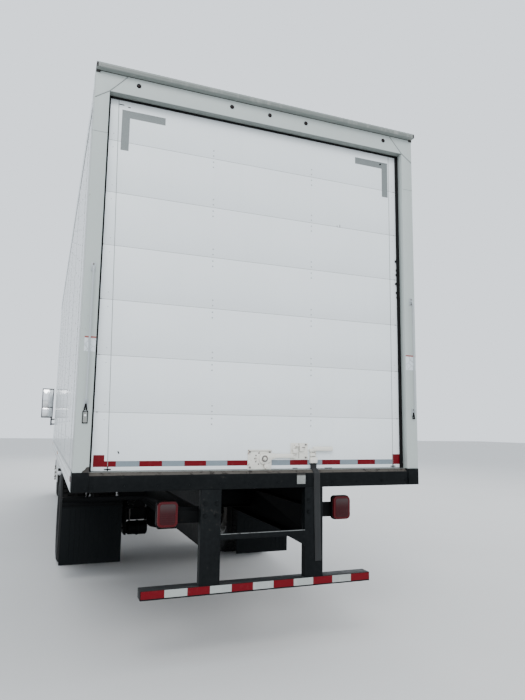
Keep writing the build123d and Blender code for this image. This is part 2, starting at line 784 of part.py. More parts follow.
with BuildPart() as front_bumper:
    with BuildSketch(Plane.XY.offset(BUMPER_BOTTOM)):
        for inset in (0, BUMPER_THICKNESS):
            half = BUMPER_HALF - inset
            front = FRONT + inset
            end = FRONT + BUMPER_SWEEP
            with BuildLine():
                Line((-BUMPER_STRAIGHT, front), (BUMPER_STRAIGHT, front))
                RadiusArc((BUMPER_STRAIGHT, front), (half, end), -BUMPER_RADIUS)
                Line((half, end), (-half, end))
                RadiusArc((-half, end), (-BUMPER_STRAIGHT, front), -BUMPER_RADIUS)
            make_face(mode=Mode.SUBTRACT if inset else Mode.ADD)
    extrude(amount=BUMPER_TOP - BUMPER_BOTTOM)
write(front_bumper, "front_bumper")

# Hood with its fenders: one moulded skin that tilts forward about its lower front edge
HOOD_BOTTOM = 800.0
FENDER_BOTTOM = 640.0
HOOD_BASE = 1110.0
CAB_CLEAR_HALF = 1055.0
HOOD_BEVEL = 90.0
FENDER_BEVEL = 60.0
FENDER_SIDE = (
    # behind the bumper, height
    (HOOD_FRONT + 25, HOOD_BASE + 30),
    (600.0, 1215.0),
    (1250.0, 1230.0),
    (1540.0, 1160.0),
    (FENDER_REAR, 980.0),
)
FENDER_PLAN = (
    # half width, behind the bumper
    (FENDER_HALF, FENDER_REAR),
    (FENDER_HALF, 560.0),
    (1130.0, 300.0),
    (930.0, 190.0),
    (560.0, HOOD_FRONT),
)
HOOD_SECTIONS = (
    # behind the bumper, half width, height
    (175.0, 560.0, 1385.0),
    (225.0, 575.0, 1430.0),
    (700.0, 720.0, 1590.0),
    (1460.0, 930.0, 1735.0),
)


def hood_volume(inset, drop):
    """The hood's outside shape, moved in by inset, with its underside lowered by drop."""
    low = FENDER_BOTTOM - drop
    step = HOOD_BOTTOM - drop
    with BuildPart() as shape:
        side = [(behind(station), z) for station, z in FENDER_SIDE]
        foot = [(behind(FENDER_REAR), low), (behind(500), low), (behind(500), step), (behind(HOOD_FRONT), step)]
        prism(Plane.YZ.offset(-FENDER_HALF), side + foot, 2 * FENDER_HALF, inset)
        plan = [(x, behind(station)) for x, station in FENDER_PLAN]
        plan += [(-x, y) for x, y in reversed(plan)]
        prism(Plane.XY.offset(low), plan, CAB_TOP - low, inset, mode=Mode.INTERSECT)
        front = [
            (FENDER_HALF, low - FENDER_BEVEL),
            (FENDER_HALF, 1230 - FENDER_BEVEL),
            (FENDER_HALF - 1.6 * FENDER_BEVEL, 1231),
        ]
        front += [(-x, z) for x, z in reversed(front)]
        prism(across(behind(FENDER_REAR)), front, FENDER_REAR, inset, mode=Mode.INTERSECT)
        levels = []
        for station, half, top in HOOD_SECTIONS:
            y = behind(station + inset if station < HOOD_FRONT + 50 else station)
            outline = [
                (half - inset, HOOD_BASE - drop),
                (half - inset, top - inset - HOOD_BEVEL),
                (half - inset - HOOD_BEVEL, top - inset),
            ]
            outline += [(-x, z) for x, z in reversed(outline)]
            levels.append([(x, y, z) for x, z in outline])
        add(skinned(levels))
    return shape.part


outside = hood_volume(0, 0)
under_skin = hood_volume(HOOD_SKIN, 200)
behind_lamps = hood_volume(60, 0)

GRILLE_HALF = 430.0
GRILLE_BOTTOM = 880.0
GRILLE_TOP = 1330.0
GRILLE_CORNER = 60.0
LAMP_X = (640.0, 1010.0)
LAMP_Z = (870.0, 1050.0)
LAMP_CORNER = 40.0


def lamp_outline(sign, gap=0.0):
    """Outline of one headlamp, seen from the front."""
    return [(sign * x, z) for x, z in bevelled(LAMP_X, LAMP_Z, LAMP_CORNER, gap)]


with BuildPart() as hood:
    add(outside)
    add(under_skin, mode=Mode.SUBTRACT)
    for name, sign in SIDES:
        lug = Plane.YZ.offset(sign * PIVOT_LUG_X[0])
        lug_width = sign * (PIVOT_LUG_X[1] - PIVOT_LUG_X[0])
        bar(lug, (behind(PIVOT_STATION), PIVOT_Z), PIVOT_EAR, lug_width, sides=8)
        block(
            (sign * PIVOT_LUG_X[0], sign * PIVOT_LUG_X[1]),
            (behind(PIVOT_STATION) - 14, behind(PIVOT_STATION) + 20),
            (PIVOT_Z, HOOD_BOTTOM + 40),
        )
        bar(lug, (behind(PIVOT_STATION), PIVOT_Z), PIVOT_PIN + FIT, lug_width, mode=Mode.SUBTRACT)
    block(
        (-CAB_CLEAR_HALF, CAB_CLEAR_HALF),
        (behind(HOOD_REAR), behind(1800)),
        (300, 2000),
        mode=Mode.SUBTRACT,
    )
    bar(
        Plane.YZ.offset(-FENDER_HALF - 10),
        (FRONT_AXLE, AXLE_Z),
        ARCH_RADIUS,
        2 * FENDER_HALF + 20,
        sides=24,
        mode=Mode.SUBTRACT,
    )
    opening = bevelled((-GRILLE_HALF, GRILLE_HALF), (GRILLE_BOTTOM, GRILLE_TOP), GRILLE_CORNER)
    prism(across(behind(0)), opening, -HOOD_REAR / 3, mode=Mode.SUBTRACT)
    for name, sign in SIDES:
        prism(across(behind(0)), lamp_outline(sign), -HOOD_REAR / 3, mode=Mode.SUBTRACT)
write(hood, "hood")

# Grille: a bevelled surround with sloping louvres and two uprights
GRILLE_DEPTH = 45.0
GRILLE_BORDER = 28.0
LOUVRE_COUNT = 6
LOUVRE_HEIGHT = 30.0
LOUVRE_SLOPE = 12.0
UPRIGHT = 22.0

with BuildPart() as grille:
    grille_back = behind(175 + HOOD_SKIN + 10)
    span = (-GRILLE_HALF, GRILLE_HALF)
    heights = (GRILLE_BOTTOM, GRILLE_TOP)
    prism(across(grille_back), bevelled(span, heights, GRILLE_CORNER, FIT), GRILLE_DEPTH)
    window = bevelled(span, heights, GRILLE_CORNER / 2, GRILLE_BORDER)
    prism(across(grille_back), window, GRILLE_DEPTH, mode=Mode.SUBTRACT)
    inner_half = GRILLE_HALF - GRILLE_BORDER
    clear = GRILLE_TOP - GRILLE_BOTTOM - 2 * GRILLE_BORDER
    pitch = (clear + LOUVRE_HEIGHT) / (LOUVRE_COUNT + 1)
    back = grille_back - 5
    face = grille_back - GRILLE_DEPTH + 8
    for index in range(LOUVRE_COUNT):
        z = GRILLE_BOTTOM + GRILLE_BORDER + (index + 1) * pitch - LOUVRE_HEIGHT
        prism(
            Plane.YZ.offset(-inner_half),
            (
                (back, z + LOUVRE_SLOPE),
                (face, z),
                (face, z + LOUVRE_HEIGHT - LOUVRE_SLOPE),
                (back, z + LOUVRE_HEIGHT),
            ),
            2 * inner_half,
        )
    for x in (-2 * GRILLE_HALF / 3 / 2, 2 * GRILLE_HALF / 3 / 2):
        block(
            (x - UPRIGHT / 2, x + UPRIGHT / 2),
            (back, face),
            (GRILLE_BOTTOM + GRILLE_BORDER, GRILLE_TOP - GRILLE_BORDER),
        )
write(grille, "grille")

with BuildPart() as headlamps:
    for name, sign in SIDES:
        prism(across(behind(0)), lamp_outline(sign, FIT), -HOOD_REAR / 3)
    add(outside, mode=Mode.INTERSECT)
    add(behind_lamps, mode=Mode.SUBTRACT)
write(headlamps, "headlamps")

# Cab: front view, side view and plan extruded through each other, then the bowed windshield
PILLAR_LEAN = (CAB_LENGTH - SCREEN_TOP_AHEAD - COWL) / (EAVE - BELT)


def cab_volume(inset, floor=0.0):
    """The cab's outside shape, moved in by inset, with its bottom raised by floor."""
    base = CAB_BOTTOM + floor - inset
    with BuildPart() as shape:
        front = [(CAB_HALF, base), (BELT_HALF, BELT), (EAVE_HALF, EAVE), (ROOF_HALF, CAB_TOP)]
        front += [(-x, z) for x, z in reversed(front)]
        prism(across(before(0)), front, CAB_LENGTH, inset)
        side = (
            (behind(COWL_FOOT), base),
            (behind(COWL), BELT),
            (before(SCREEN_TOP_AHEAD), EAVE),
            (before(ROOF_FRONT_AHEAD), CAB_TOP),
            (before(ROOF_REAR_AHEAD), CAB_TOP),
            (before(EAVE_REAR_AHEAD), EAVE),
            (before(0), BELT),
            (before(FOOT_REAR_AHEAD), base),
        )
        prism(Plane.YZ.offset(-BELT_HALF), side, 2 * BELT_HALF, inset, mode=Mode.INTERSECT)
        plan = [(BELT_HALF, behind(COWL) - 20), (BELT_HALF, before(CAB_CORNER))]
        plan += [(BELT_HALF - CAB_CORNER, before(0))]
        plan += [(-x, y) for x, y in reversed(plan)]
        prism(Plane.XY.offset(base), plan, CAB_TOP - base, inset, mode=Mode.INTERSECT)
        lean = Vector(0, PILLAR_LEAN, 1).normalized()
        inward = Vector(0, 1, -PILLAR_LEAN).normalized()
        centre = Vector(0, behind(COWL), BELT) + inward * SCREEN_BOW - lean * CAB_LENGTH
        with BuildSketch(Plane(origin=centre, x_dir=(1, 0, 0), z_dir=lean)) as bow:
            Circle(SCREEN_BOW - inset)
        extrude(bow.sketch, amount=3 * CAB_LENGTH, mode=Mode.INTERSECT)
    return shape.part


HINGE_X = 1045.0
HINGE_STATION = 1662.0
HINGE_HEIGHTS = (1230.0, 1450.0)
HINGE_LENGTH = 70.0
HINGE_BARREL = 10.0
HINGE_LEAF = 50.0
HINGE_GAP = 0.4
HINGE_BACKSET = 16.0
LEAF_DEPTH = 60.0
LEAF_FACE = 8.0


def hinge_half(sign, facing, low, high):
    """The cab's or the door's halves of the hinges on one side, flush with the cab's skin."""
    near = behind(HINGE_STATION) + facing * HINGE_BACKSET
    far = near + facing * HINGE_LEAF
    with BuildPart() as half:
        for height in HINGE_HEIGHTS:
            leaf = (height + low, height + high)
            block((sign * (HINGE_X - LEAF_DEPTH), sign * (HINGE_X + LEAF_FACE)), (near, far), leaf)
            block((sign * (HINGE_X - 2), sign * (HINGE_X + LEAF_FACE)), (behind(HINGE_STATION), near), leaf)
        add(cab_outside, mode=Mode.SUBTRACT)
        for height in HINGE_HEIGHTS:
            foot = Plane.XY.offset(height + low)
            bar(foot, (sign * HINGE_X, behind(HINGE_STATION)), HINGE_BARREL, high - low, 8 if facing < 0 else 0)
    return half.part


cab_outside = cab_volume(0)
cab_inside = cab_volume(CAB_WALL, CAB_FLOOR)
glass_outside = cab_volume(GLASS_RECESS)
glass_inside = cab_volume(GLASS_RECESS + GLASS)

WINDOW_INSET = 70.0
WINDOW_BOTTOM = 1730.0
WINDOW_TOP = 2310.0
SCREEN_BOTTOM = 1740.0
SCREEN_TOP = 2370.0
SCREEN_HALF_LOW = 900.0
SCREEN_HALF_HIGH = 820.0
REAR_WINDOW_HALF = 650.0
REAR_WINDOW_Z = (1790.0, 2210.0)
REAR_WINDOW_CORNER = 60.0
CAB_MOUNTS_AHEAD = (900.0, 200.0)
CUT_HALF = 1200.0


def leaning(station, z):
    """Y on a line parallel to the windshield pillar that crosses the belt at that station."""
    return behind(station + (z - BELT) * PILLAR_LEAN)


DOOR_OUTLINE = (
    # Y, Z
    (behind(DOOR_FRONT), DOOR_BOTTOM),
    (behind(DOOR_FRONT), BELT),
    (leaning(DOOR_FRONT, DOOR_TOP), DOOR_TOP),
    (before(DOOR_REAR_AHEAD), DOOR_TOP),
    (before(DOOR_REAR_AHEAD), DOOR_BOTTOM),
)
WINDOW_OUTLINE = (
    # Y, Z
    (leaning(DOOR_FRONT + WINDOW_INSET, WINDOW_BOTTOM), WINDOW_BOTTOM),
    (leaning(DOOR_FRONT + WINDOW_INSET, WINDOW_TOP), WINDOW_TOP),
    (before(DOOR_REAR_AHEAD + WINDOW_INSET), WINDOW_TOP),
    (before(DOOR_REAR_AHEAD + WINDOW_INSET), WINDOW_BOTTOM),
)
SCREEN_OUTLINE = (
    # X, Z
    (-SCREEN_HALF_LOW, SCREEN_BOTTOM),
    (-SCREEN_HALF_HIGH, SCREEN_TOP),
    (SCREEN_HALF_HIGH, SCREEN_TOP),
    (SCREEN_HALF_LOW, SCREEN_BOTTOM),
)

with BuildPart() as screens:
    middle_y = before((SCREEN_TOP_AHEAD + ROOF_REAR_AHEAD) / 2)
    prism(across(middle_y), SCREEN_OUTLINE, CAB_LENGTH)
    rear_window = bevelled((-REAR_WINDOW_HALF, REAR_WINDOW_HALF), REAR_WINDOW_Z, REAR_WINDOW_CORNER)
    prism(across(before(0) + CAB_WALL), rear_window, 3 * CAB_WALL)

with BuildPart() as cab_shell:
    add(cab_outside)
    add(cab_inside, mode=Mode.SUBTRACT)
    prism(Plane.YZ.offset(-CUT_HALF), DOOR_OUTLINE, 2 * CUT_HALF, inset=-DOOR_GAP, mode=Mode.SUBTRACT)
    add(screens.part, mode=Mode.SUBTRACT)
    for name, sign in SIDES:
        for distance in CAB_MOUNTS_AHEAD:
            block(
                (sign * (HALF_FRAME - FLANGE), sign * HALF_FRAME),
                (before(distance) - 50, before(distance) + 50),
                (FRAME_TOP, CAB_BOTTOM),
            )
        add(hinge_half(sign, -1, -HINGE_LENGTH / 2, 0))
write(cab_shell, "cab_shell")

with BuildPart() as cab_glass:
    add(glass_outside)
    add(glass_inside, mode=Mode.SUBTRACT)
    add(screens.part, mode=Mode.INTERSECT)
write(cab_glass, "cab_glass")

DOOR_INNER = 700.0
DOOR_CUT = 500.0
HANDLE_Y = (200.0, 350.0)
HANDLE_Z = (1600.0, 1632.0)
HANDLE_FACE = 1058.0
MIRROR_X = 1345.0
MIRROR_HEAD = (1320.0, 1548.0)
MIRROR_Z = (1690.0, 2300.0)
MIRROR_Y = 1720.0
MIRROR_DEPTH = 90.0
MIRROR_BEVEL = 25.0
MIRROR_ARMS = (1560.0, 1660.0)
MIRROR_TUBE = 14.0

for name, sign in SIDES:
    start = Plane.YZ.offset(sign * DOOR_INNER)
    with BuildPart() as cab_door:
        prism(start, DOOR_OUTLINE, sign * DOOR_CUT)
        prism(start, WINDOW_OUTLINE, sign * DOOR_CUT, mode=Mode.SUBTRACT)
        add(cab_outside, mode=Mode.INTERSECT)
        add(cab_inside, mode=Mode.SUBTRACT)
        block(
            (sign * (BELT_HALF - 20), sign * HANDLE_FACE),
            (before(HANDLE_Y[1]), before(HANDLE_Y[0])),
            HANDLE_Z,
        )
        add(hinge_half(sign, 1, HINGE_GAP, HINGE_LENGTH / 2))
    write(cab_door, f"cab_door_{name}")
    with BuildPart() as door_glass:
        prism(start, WINDOW_OUTLINE, sign * DOOR_CUT)
        add(glass_outside, mode=Mode.INTERSECT)
        add(glass_inside, mode=Mode.SUBTRACT)
    write(door_glass, f"door_glass_{name}")
    with BuildPart() as mirror:
        for height in MIRROR_ARMS:
            arm = Plane.YZ.offset(sign * (CAB_HALF - 10))
            bar(arm, (behind(MIRROR_Y), height), MIRROR_TUBE, sign * (MIRROR_X - CAB_HALF + 10), sides=8)
        foot = Plane.XY.offset(MIRROR_ARMS[0] - 25)
        bar(foot, (sign * MIRROR_X, behind(MIRROR_Y)), MIRROR_TUBE + 2, MIRROR_Z[1] - MIRROR_ARMS[0], sides=8)
        near = behind(MIRROR_Y) - MIRROR_DEPTH / 2
        far = behind(MIRROR_Y) + MIRROR_DEPTH / 2
        prism(
            Plane.XY.offset(MIRROR_Z[0]),
            (
                (sign * (MIRROR_HEAD[0] + MIRROR_BEVEL), near),
                (sign * (MIRROR_HEAD[1] - 2 * MIRROR_BEVEL), near),
                (sign * MIRROR_HEAD[1], near + 2 * MIRROR_BEVEL),
                (sign * MIRROR_HEAD[1], far),
                (sign * MIRROR_HEAD[0], far),
                (sign * MIRROR_HEAD[0], near + MIRROR_BEVEL),
            ),
            MIRROR_Z[1] - MIRROR_Z[0],
        )
        add(cab_outside, mode=Mode.SUBTRACT)
    write(mirror, f"mirror_{name}")

# Cab inside: two seats, dashboard with its column, steering wheel
INSIDE_FLOOR = CAB_BOTTOM + CAB_FLOOR
DRIVER_X = 480.0
SEATS = (
    # middle's X, width
    (DRIVER_X, 520.0),
    (-DRIVER_X, 840.0),
)
SEAT_FRONT_AHEAD = 620.0
SEAT_REAR_AHEAD = 140.0
CUSHION_TOP = 420.0
SEAT_BACK = 1040.0
BACK_FOOT = 130.0
BACK_TOP = 90.0

with BuildPart() as seats:
    for middle, width in SEATS:
        prism(
            Plane.YZ.offset(middle - width / 2),
            (
                (before(SEAT_FRONT_AHEAD), INSIDE_FLOOR + FIT),
                (before(SEAT_FRONT_AHEAD), INSIDE_FLOOR + CUSHION_TOP),
                (before(SEAT_REAR_AHEAD + BACK_FOOT), INSIDE_FLOOR + CUSHION_TOP - 20),
                (before(SEAT_REAR_AHEAD + BACK_TOP), INSIDE_FLOOR + SEAT_BACK),
                (before(SEAT_REAR_AHEAD), INSIDE_FLOOR + SEAT_BACK),
                (before(SEAT_REAR_AHEAD), INSIDE_FLOOR + FIT),
            ),
            width,
        )
write(seats, "seats")

COLUMN_TOP = (1930.0, 1690.0)
COLUMN_FOOT = (1700.0, 1560.0)
COLUMN_RADIUS = 30.0
COLUMN_LENGTH = 250.0
DASH_HALF = 900.0
DASH_CORE = 600.0
STEERING_RADIUS = 215.0
STEERING_RING = 28.0
STEERING_HUB = 55.0
STEERING_SHAFT = 18.0
STEERING_DEPTH = 26.0
SPOKE = 34.0
COLUMN = Plane(
    origin=(DRIVER_X, behind(COLUMN_TOP[0]), COLUMN_TOP[1]),
    x_dir=(1, 0, 0),
    z_dir=(0, COLUMN_TOP[0] - COLUMN_FOOT[0], COLUMN_TOP[1] - COLUMN_FOOT[1]),
)

with BuildPart() as dashboard:
    prism(
        Plane.YZ.offset(-DASH_CORE),
        (
            (behind(1420), INSIDE_FLOOR + 300),
            (behind(1420), 1640),
            (behind(1600), 1640),
            (behind(1600), INSIDE_FLOOR + 300),
        ),
        2 * DASH_CORE,
    )
    add(cab_inside, mode=Mode.INTERSECT)
    prism(
        Plane.YZ.offset(-DASH_HALF),
        (
            (behind(1575), INSIDE_FLOOR + 320),
            (behind(1575), 1660),
            (behind(1770), 1660),
            (behind(1800), 1520),
            (behind(1660), INSIDE_FLOOR + 320),
        ),
        2 * DASH_HALF,
    )
    bar(COLUMN.offset(-HINGE_GAP), (0, 0), COLUMN_RADIUS, -COLUMN_LENGTH, sides=8)
write(dashboard, "dashboard")

with BuildPart() as steering_wheel:
    bar(COLUMN, (0, 0), STEERING_RADIUS, STEERING_DEPTH, sides=16)
    bar(COLUMN, (0, 0), STEERING_RADIUS - STEERING_RING, STEERING_DEPTH, sides=16, mode=Mode.SUBTRACT)
    bar(COLUMN, (0, 0), STEERING_HUB, STEERING_DEPTH, sides=8)
    with BuildSketch(COLUMN):
        with PolarLocations(0, 4):
            with Locations((STEERING_RADIUS / 2, 0)):
                Rectangle(STEERING_RADIUS - STEERING_RING / 2, SPOKE)
    extrude(amount=STEERING_DEPTH - 8)
    bar(COLUMN.offset(STEERING_DEPTH), (0, 0), STEERING_SHAFT, 6)
write(steering_wheel, "steering_wheel")

# Five marker lamps along the front of the cab's roof
ROOF_LAMPS = (-480.0, -130.0, 0.0, 130.0, 480.0)
ROOF_LAMP_HALF = 45.0
LAMP_RISE = 34.0
ROOF_SLOPE_Y = (before(SCREEN_TOP_AHEAD) + before(ROOF_FRONT_AHEAD)) / 2
ROOF_SLOPE_Z = (EAVE + CAB_TOP) / 2

with BuildPart() as cab_lamps:
    for x in ROOF_LAMPS:
        prism(
            Plane.YZ.offset(x - ROOF_LAMP_HALF),
            (
                (ROOF_SLOPE_Y - 45, ROOF_SLOPE_Z - 60),
                (ROOF_SLOPE_Y - 40, ROOF_SLOPE_Z - 10),
                (ROOF_SLOPE_Y, ROOF_SLOPE_Z + LAMP_RISE),
                (ROOF_SLOPE_Y + 70, ROOF_SLOPE_Z + LAMP_RISE + 20),
                (ROOF_SLOPE_Y + 70, ROOF_SLOPE_Z - 20),
            ),
            2 * ROOF_LAMP_HALF,
        )
    add(cab_outside, mode=Mode.SUBTRACT)
write(cab_lamps, "cab_lamps")

# Load body underframe: two sills on the rails, with channel crossmembers laid over them
UNDER_START = BODY_FRONT + BODY_WALL
UNDER_END = REAR_FACE - SILL_DEPTH
INNER_BODY = HALF_BODY - BODY_WALL

with BuildPart() as box_longsills:
    for name, sign in SIDES:
        block(
            (sign * HALF_FRAME, sign * (HALF_FRAME - LONGSILL_WIDTH)),
            (UNDER_START, REAR_FACE - POST_DEPTH),
            (FRAME_TOP, LONGSILL_TOP),
        )
write(box_longsills, "box_longsills")

with BuildPart() as box_crossmembers:
    count = int((UNDER_END - UNDER_START) / CROSS_PITCH)
    spacing = (UNDER_END - UNDER_START - CROSS_FLANGE) / count
    half_flange = CROSS_FLANGE / 2
    for index in range(count + 1):
        y = UNDER_END - half_flange - index * spacing
        prism(
            Plane.YZ.offset(-INNER_BODY),
            (
                (y - half_flange, LONGSILL_TOP),
                (y + half_flange, LONGSILL_TOP),
                (y + half_flange, LONGSILL_TOP + CROSS_WEB),
                (y - half_flange + CROSS_WEB, LONGSILL_TOP + CROSS_WEB),
                (y - half_flange + CROSS_WEB, CROSS_TOP - CROSS_WEB),
                (y + half_flange, CROSS_TOP - CROSS_WEB),
                (y + half_flange, CROSS_TOP),
                (y - half_flange, CROSS_TOP),
            ),
            2 * INNER_BODY,
        )
write(box_crossmembers, "box_crossmembers")

with BuildPart() as box_floor:
    block((-INNER_BODY, INNER_BODY), (UNDER_START, UNDER_END), (CROSS_TOP, FLOOR_TOP))
write(box_floor, "box_floor")

# Side walls with a proud rail along the top and the bottom
for name, sign in SIDES:
    sheet = sign * (HALF_BODY - RAIL_PROUD)
    skin = sign * HALF_BODY
    inner = sign * INNER_BODY
    with BuildPart() as wall:
        prism(
            across(UNDER_END),
            (
                (inner, WALL_BOTTOM),
                (skin, WALL_BOTTOM),
                (skin, WALL_BOTTOM + BOTTOM_RAIL),
                (sheet, WALL_BOTTOM + BOTTOM_RAIL),
                (sheet, WALL_TOP - TOP_RAIL),
                (skin, WALL_TOP - TOP_RAIL),
                (skin, WALL_TOP),
                (inner, WALL_TOP),
            ),
            UNDER_END - UNDER_START,
        )
    write(wall, f"box_wall_{name}")

with BuildPart() as box_front_wall:
    block((-HALF_BODY, HALF_BODY), (BODY_FRONT, UNDER_START), (WALL_BOTTOM, WALL_TOP))
    fillet(box_front_wall.edges().filter_by(Axis.Z).group_by(Axis.Y)[0], radius=NOSE_RADIUS)
write(box_front_wall, "box_front_wall")

with BuildPart() as box_roof:
    block((-HALF_BODY, HALF_BODY), (BODY_FRONT, UNDER_END), (WALL_TOP, WALL_TOP + ROOF_THICKNESS))
    chamfer(box_roof.edges().filter_by(Axis.Y).group_by(Axis.Z)[-1], length=ROOF_BEVEL)
write(box_roof, "box_roof")

# Rear frame: posts and header round the door, returns to the walls, and the cap over the roof
OPENING_HALF = HALF_BODY - POST_WIDTH

with BuildPart() as rear_frame:
    prism(
        across(REAR_FACE),
        (
            (-HALF_BODY, SILL_TOP),
            (-HALF_BODY, HEADER_TOP),
            (HALF_BODY, HEADER_TOP),
            (HALF_BODY, SILL_TOP),
            (OPENING_HALF, SILL_TOP),
            (OPENING_HALF, HEADER_BOTTOM),
            (-OPENING_HALF, HEADER_BOTTOM),
            (-OPENING_HALF, SILL_TOP),
        ),
        POST_DEPTH,
    )
    for name, sign in SIDES:
        block(
            (sign * (HALF_BODY - POST_RETURN), sign * HALF_BODY),
            (ahead(POST_DEPTH), ahead(SILL_DEPTH)),
            (SILL_TOP, HEADER_TOP),
        )
    block(
        (-HALF_BODY, HALF_BODY),
        (ahead(POST_DEPTH), ahead(SILL_DEPTH)),
        (WALL_TOP + ROOF_THICKNESS, HEADER_TOP),
    )
    block(
        (-HALF_BODY, HALF_BODY),
        (REAR_FACE + CAP_PROUD, ahead(SILL_DEPTH)),
        (HEADER_TOP, HEADER_TOP + CAP_HEIGHT),
    )
write(rear_frame, "rear_frame")

# Sill, sloped along its upper rear edge between the posts
SILL_END = HALF_BODY + SILL_PROUD

with BuildPart() as rear_sill:
    block((-SILL_END, SILL_END), (REAR_FACE, ahead(SILL_DEPTH)), (SILL_BOTTOM, SILL_TOP))
    prism(
        Plane.YZ.offset(-OPENING_HALF),
        ((REAR_FACE, SILL_TOP), (ahead(SILL_SLOPE), SILL_TOP), (REAR_FACE, SILL_TOP - SILL_FALL)),
        2 * OPENING_HALF,
        mode=Mode.SUBTRACT,
    )
write(rear_sill, "rear_sill")

# Roll-up door: panels that hook into each other, each with a tongue on its top edge and a groove below
DOOR_FACE = REAR_FACE - DOOR_RECESS
DOOR_BACK = DOOR_FACE - PANEL_THICKNESS
DOOR_HALF = OPENING_HALF + DOOR_OVERLAP
TONGUE_FRONT = DOOR_FACE - (PANEL_THICKNESS - TONGUE) / 2
TONGUE_BACK = TONGUE_FRONT - TONGUE

with BuildPart() as rollup_door:
    for index in range(PANEL_COUNT):
        first = index == 0
        last = index == PANEL_COUNT - 1
        joint = SILL_TOP + BOTTOM_PANEL + PANEL_PITCH * index
        top = joint - JOINT_GAP / 2
        foot = SILL_TOP if first else joint - PANEL_PITCH + JOINT_GAP / 2
        outline = [(DOOR_FACE, foot + PANEL_BEVEL), (DOOR_FACE, top - PANEL_BEVEL), (DOOR_FACE - PANEL_BEVEL, top)]
        if not last:
            crest = top + TONGUE_HEIGHT
            outline += [(TONGUE_FRONT, top), (TONGUE_FRONT, crest), (TONGUE_BACK, crest), (TONGUE_BACK, top)]
        outline += [(DOOR_BACK, top), (DOOR_BACK, foot)]
        if not first:
            roof = foot + TONGUE_HEIGHT + JOINT_GAP
            outline += [
                (TONGUE_BACK - JOINT_GAP, foot),
                (TONGUE_BACK - JOINT_GAP, roof),
                (TONGUE_FRONT + JOINT_GAP, roof),
                (TONGUE_FRONT + JOINT_GAP, foot),
            ]
        outline += [(DOOR_FACE - PANEL_BEVEL, foot)]
        prism(Plane.YZ.offset(-DOOR_HALF), outline, 2 * DOOR_HALF)
write(rollup_door, "rollup_door")

# Latch on the door's bottom panel: base plate, lever on its pivot, keeper, slide handle
LATCH_LEFT = HALF_BODY - 1187.0
LATCH_RIGHT = HALF_BODY - 1372.0
LATCH_FOOT = SILL_TOP + 2
LATCH_HEAD = 1393.0
LATCH_PLATE = 8.0
PIVOT_X = HALF_BODY - 1314.0
LEVER_PIVOT_Z = 1329.0
LEVER_BOSS = 34.0
LEVER_THICKNESS = 12.0
LEVER_PIN = 12.0
KEEPER_X = (HALF_BODY - 1521.0, HALF_BODY - 1735.0)
KEEPER_Z = (1321.0, 1442.0)
CLAW_X = (HALF_BODY - 1545.0, HALF_BODY - 1600.0)
CLAW_RISE = 26.0
HANDLE_X = (HALF_BODY - 1700.0, HALF_BODY - 1861.0)
HANDLE_HEIGHT = (1383.0, 1417.0)

with BuildPart() as door_latch:
    plate_top = DOOR_FACE + LATCH_PLATE
    block((LATCH_LEFT, LATCH_RIGHT), (DOOR_FACE, plate_top), (LATCH_FOOT, LATCH_HEAD))
    lever_top = plate_top + LEVER_THICKNESS
    bar(across(lever_top), (PIVOT_X, LEVER_PIVOT_Z), LEVER_BOSS, LEVER_THICKNESS, sides=16)
    bar(across(lever_top + 10), (PIVOT_X, LEVER_PIVOT_Z), LEVER_PIN, 10, sides=12)
    prism(
        across(lever_top),
        (
            (PIVOT_X + 20, LEVER_PIVOT_Z + 34),
            (PIVOT_X - 60, LEVER_PIVOT_Z + 32),
            (CLAW_X[0], LEVER_PIVOT_Z + 38),
            (CLAW_X[0], LEVER_PIVOT_Z + 2),
            (PIVOT_X - 95, LEVER_PIVOT_Z),
            (PIVOT_X - 30, LEVER_PIVOT_Z - 28),
        ),
        LEVER_THICKNESS,
    )
    block(KEEPER_X, (DOOR_FACE, plate_top), KEEPER_Z)
    block(CLAW_X, (plate_top, plate_top + CLAW_RISE), (LEVER_PIVOT_Z, KEEPER_Z[1] - 10))
    block(HANDLE_X, (plate_top, plate_top + 14), HANDLE_HEIGHT)
    block(
        (PIVOT_X - 22, PIVOT_X + 2),
        (plate_top, plate_top + 10),
        (LATCH_FOOT + 2, LEVER_PIVOT_Z),
    )
write(door_latch, "door_latch")

# Pull strap: from the keeper, over the sill and down in front of the right riser
STRAP_X = HALF_BODY - 1704.0
STRAP_WIDTH = 50.0
STRAP_THICKNESS = 4.0
STRAP_TOP = 1320.0
STRAP_BOTTOM = 610.0


def over_sill(gap):
    """Points of a line that keeps a gap from the sill, from the strap's top to its free end."""
    run = math.hypot(SILL_SLOPE, SILL_FALL)
    inner = DOOR_FACE + 6 - FIT + gap
    return [
        (inner, STRAP_TOP),
        (inner, SILL_TOP + gap),
        (ahead(SILL_SLOPE) + gap * (run - SILL_SLOPE) / SILL_FALL, SILL_TOP + gap),
        (REAR_FACE + gap, SILL_TOP - SILL_FALL + gap * (run - SILL_FALL) / SILL_SLOPE),
        (REAR_FACE + gap, STRAP_BOTTOM),
    ]


with BuildPart() as pull_strap:
    line = over_sill(FIT) + over_sill(FIT + STRAP_THICKNESS)[::-1]
    prism(Plane.YZ.offset(STRAP_X - STRAP_WIDTH / 2), line, STRAP_WIDTH)
write(pull_strap, "pull_strap")

# Grab rods standing off the posts
ROD = 8.0
ROD_OUT = 32.0
GRAB_RODS = (
    # X, bottom, top
    (HALF_BODY - 57.0, 1640.0, 2610.0),
    (-HALF_BODY + 40.0, 1660.0, 2600.0),
)

with BuildPart() as grab_rods:
    for x, low, high in GRAB_RODS:
        bar(Plane.XY.offset(low), (x, REAR_FACE + ROD_OUT), ROD, high - low, sides=8)
        for z in (low + 20, high - 20):
            block((x - 6, x + 6), (REAR_FACE, REAR_FACE + ROD_OUT), (z - 20, z + 20))
write(grab_rods, "grab_rods")

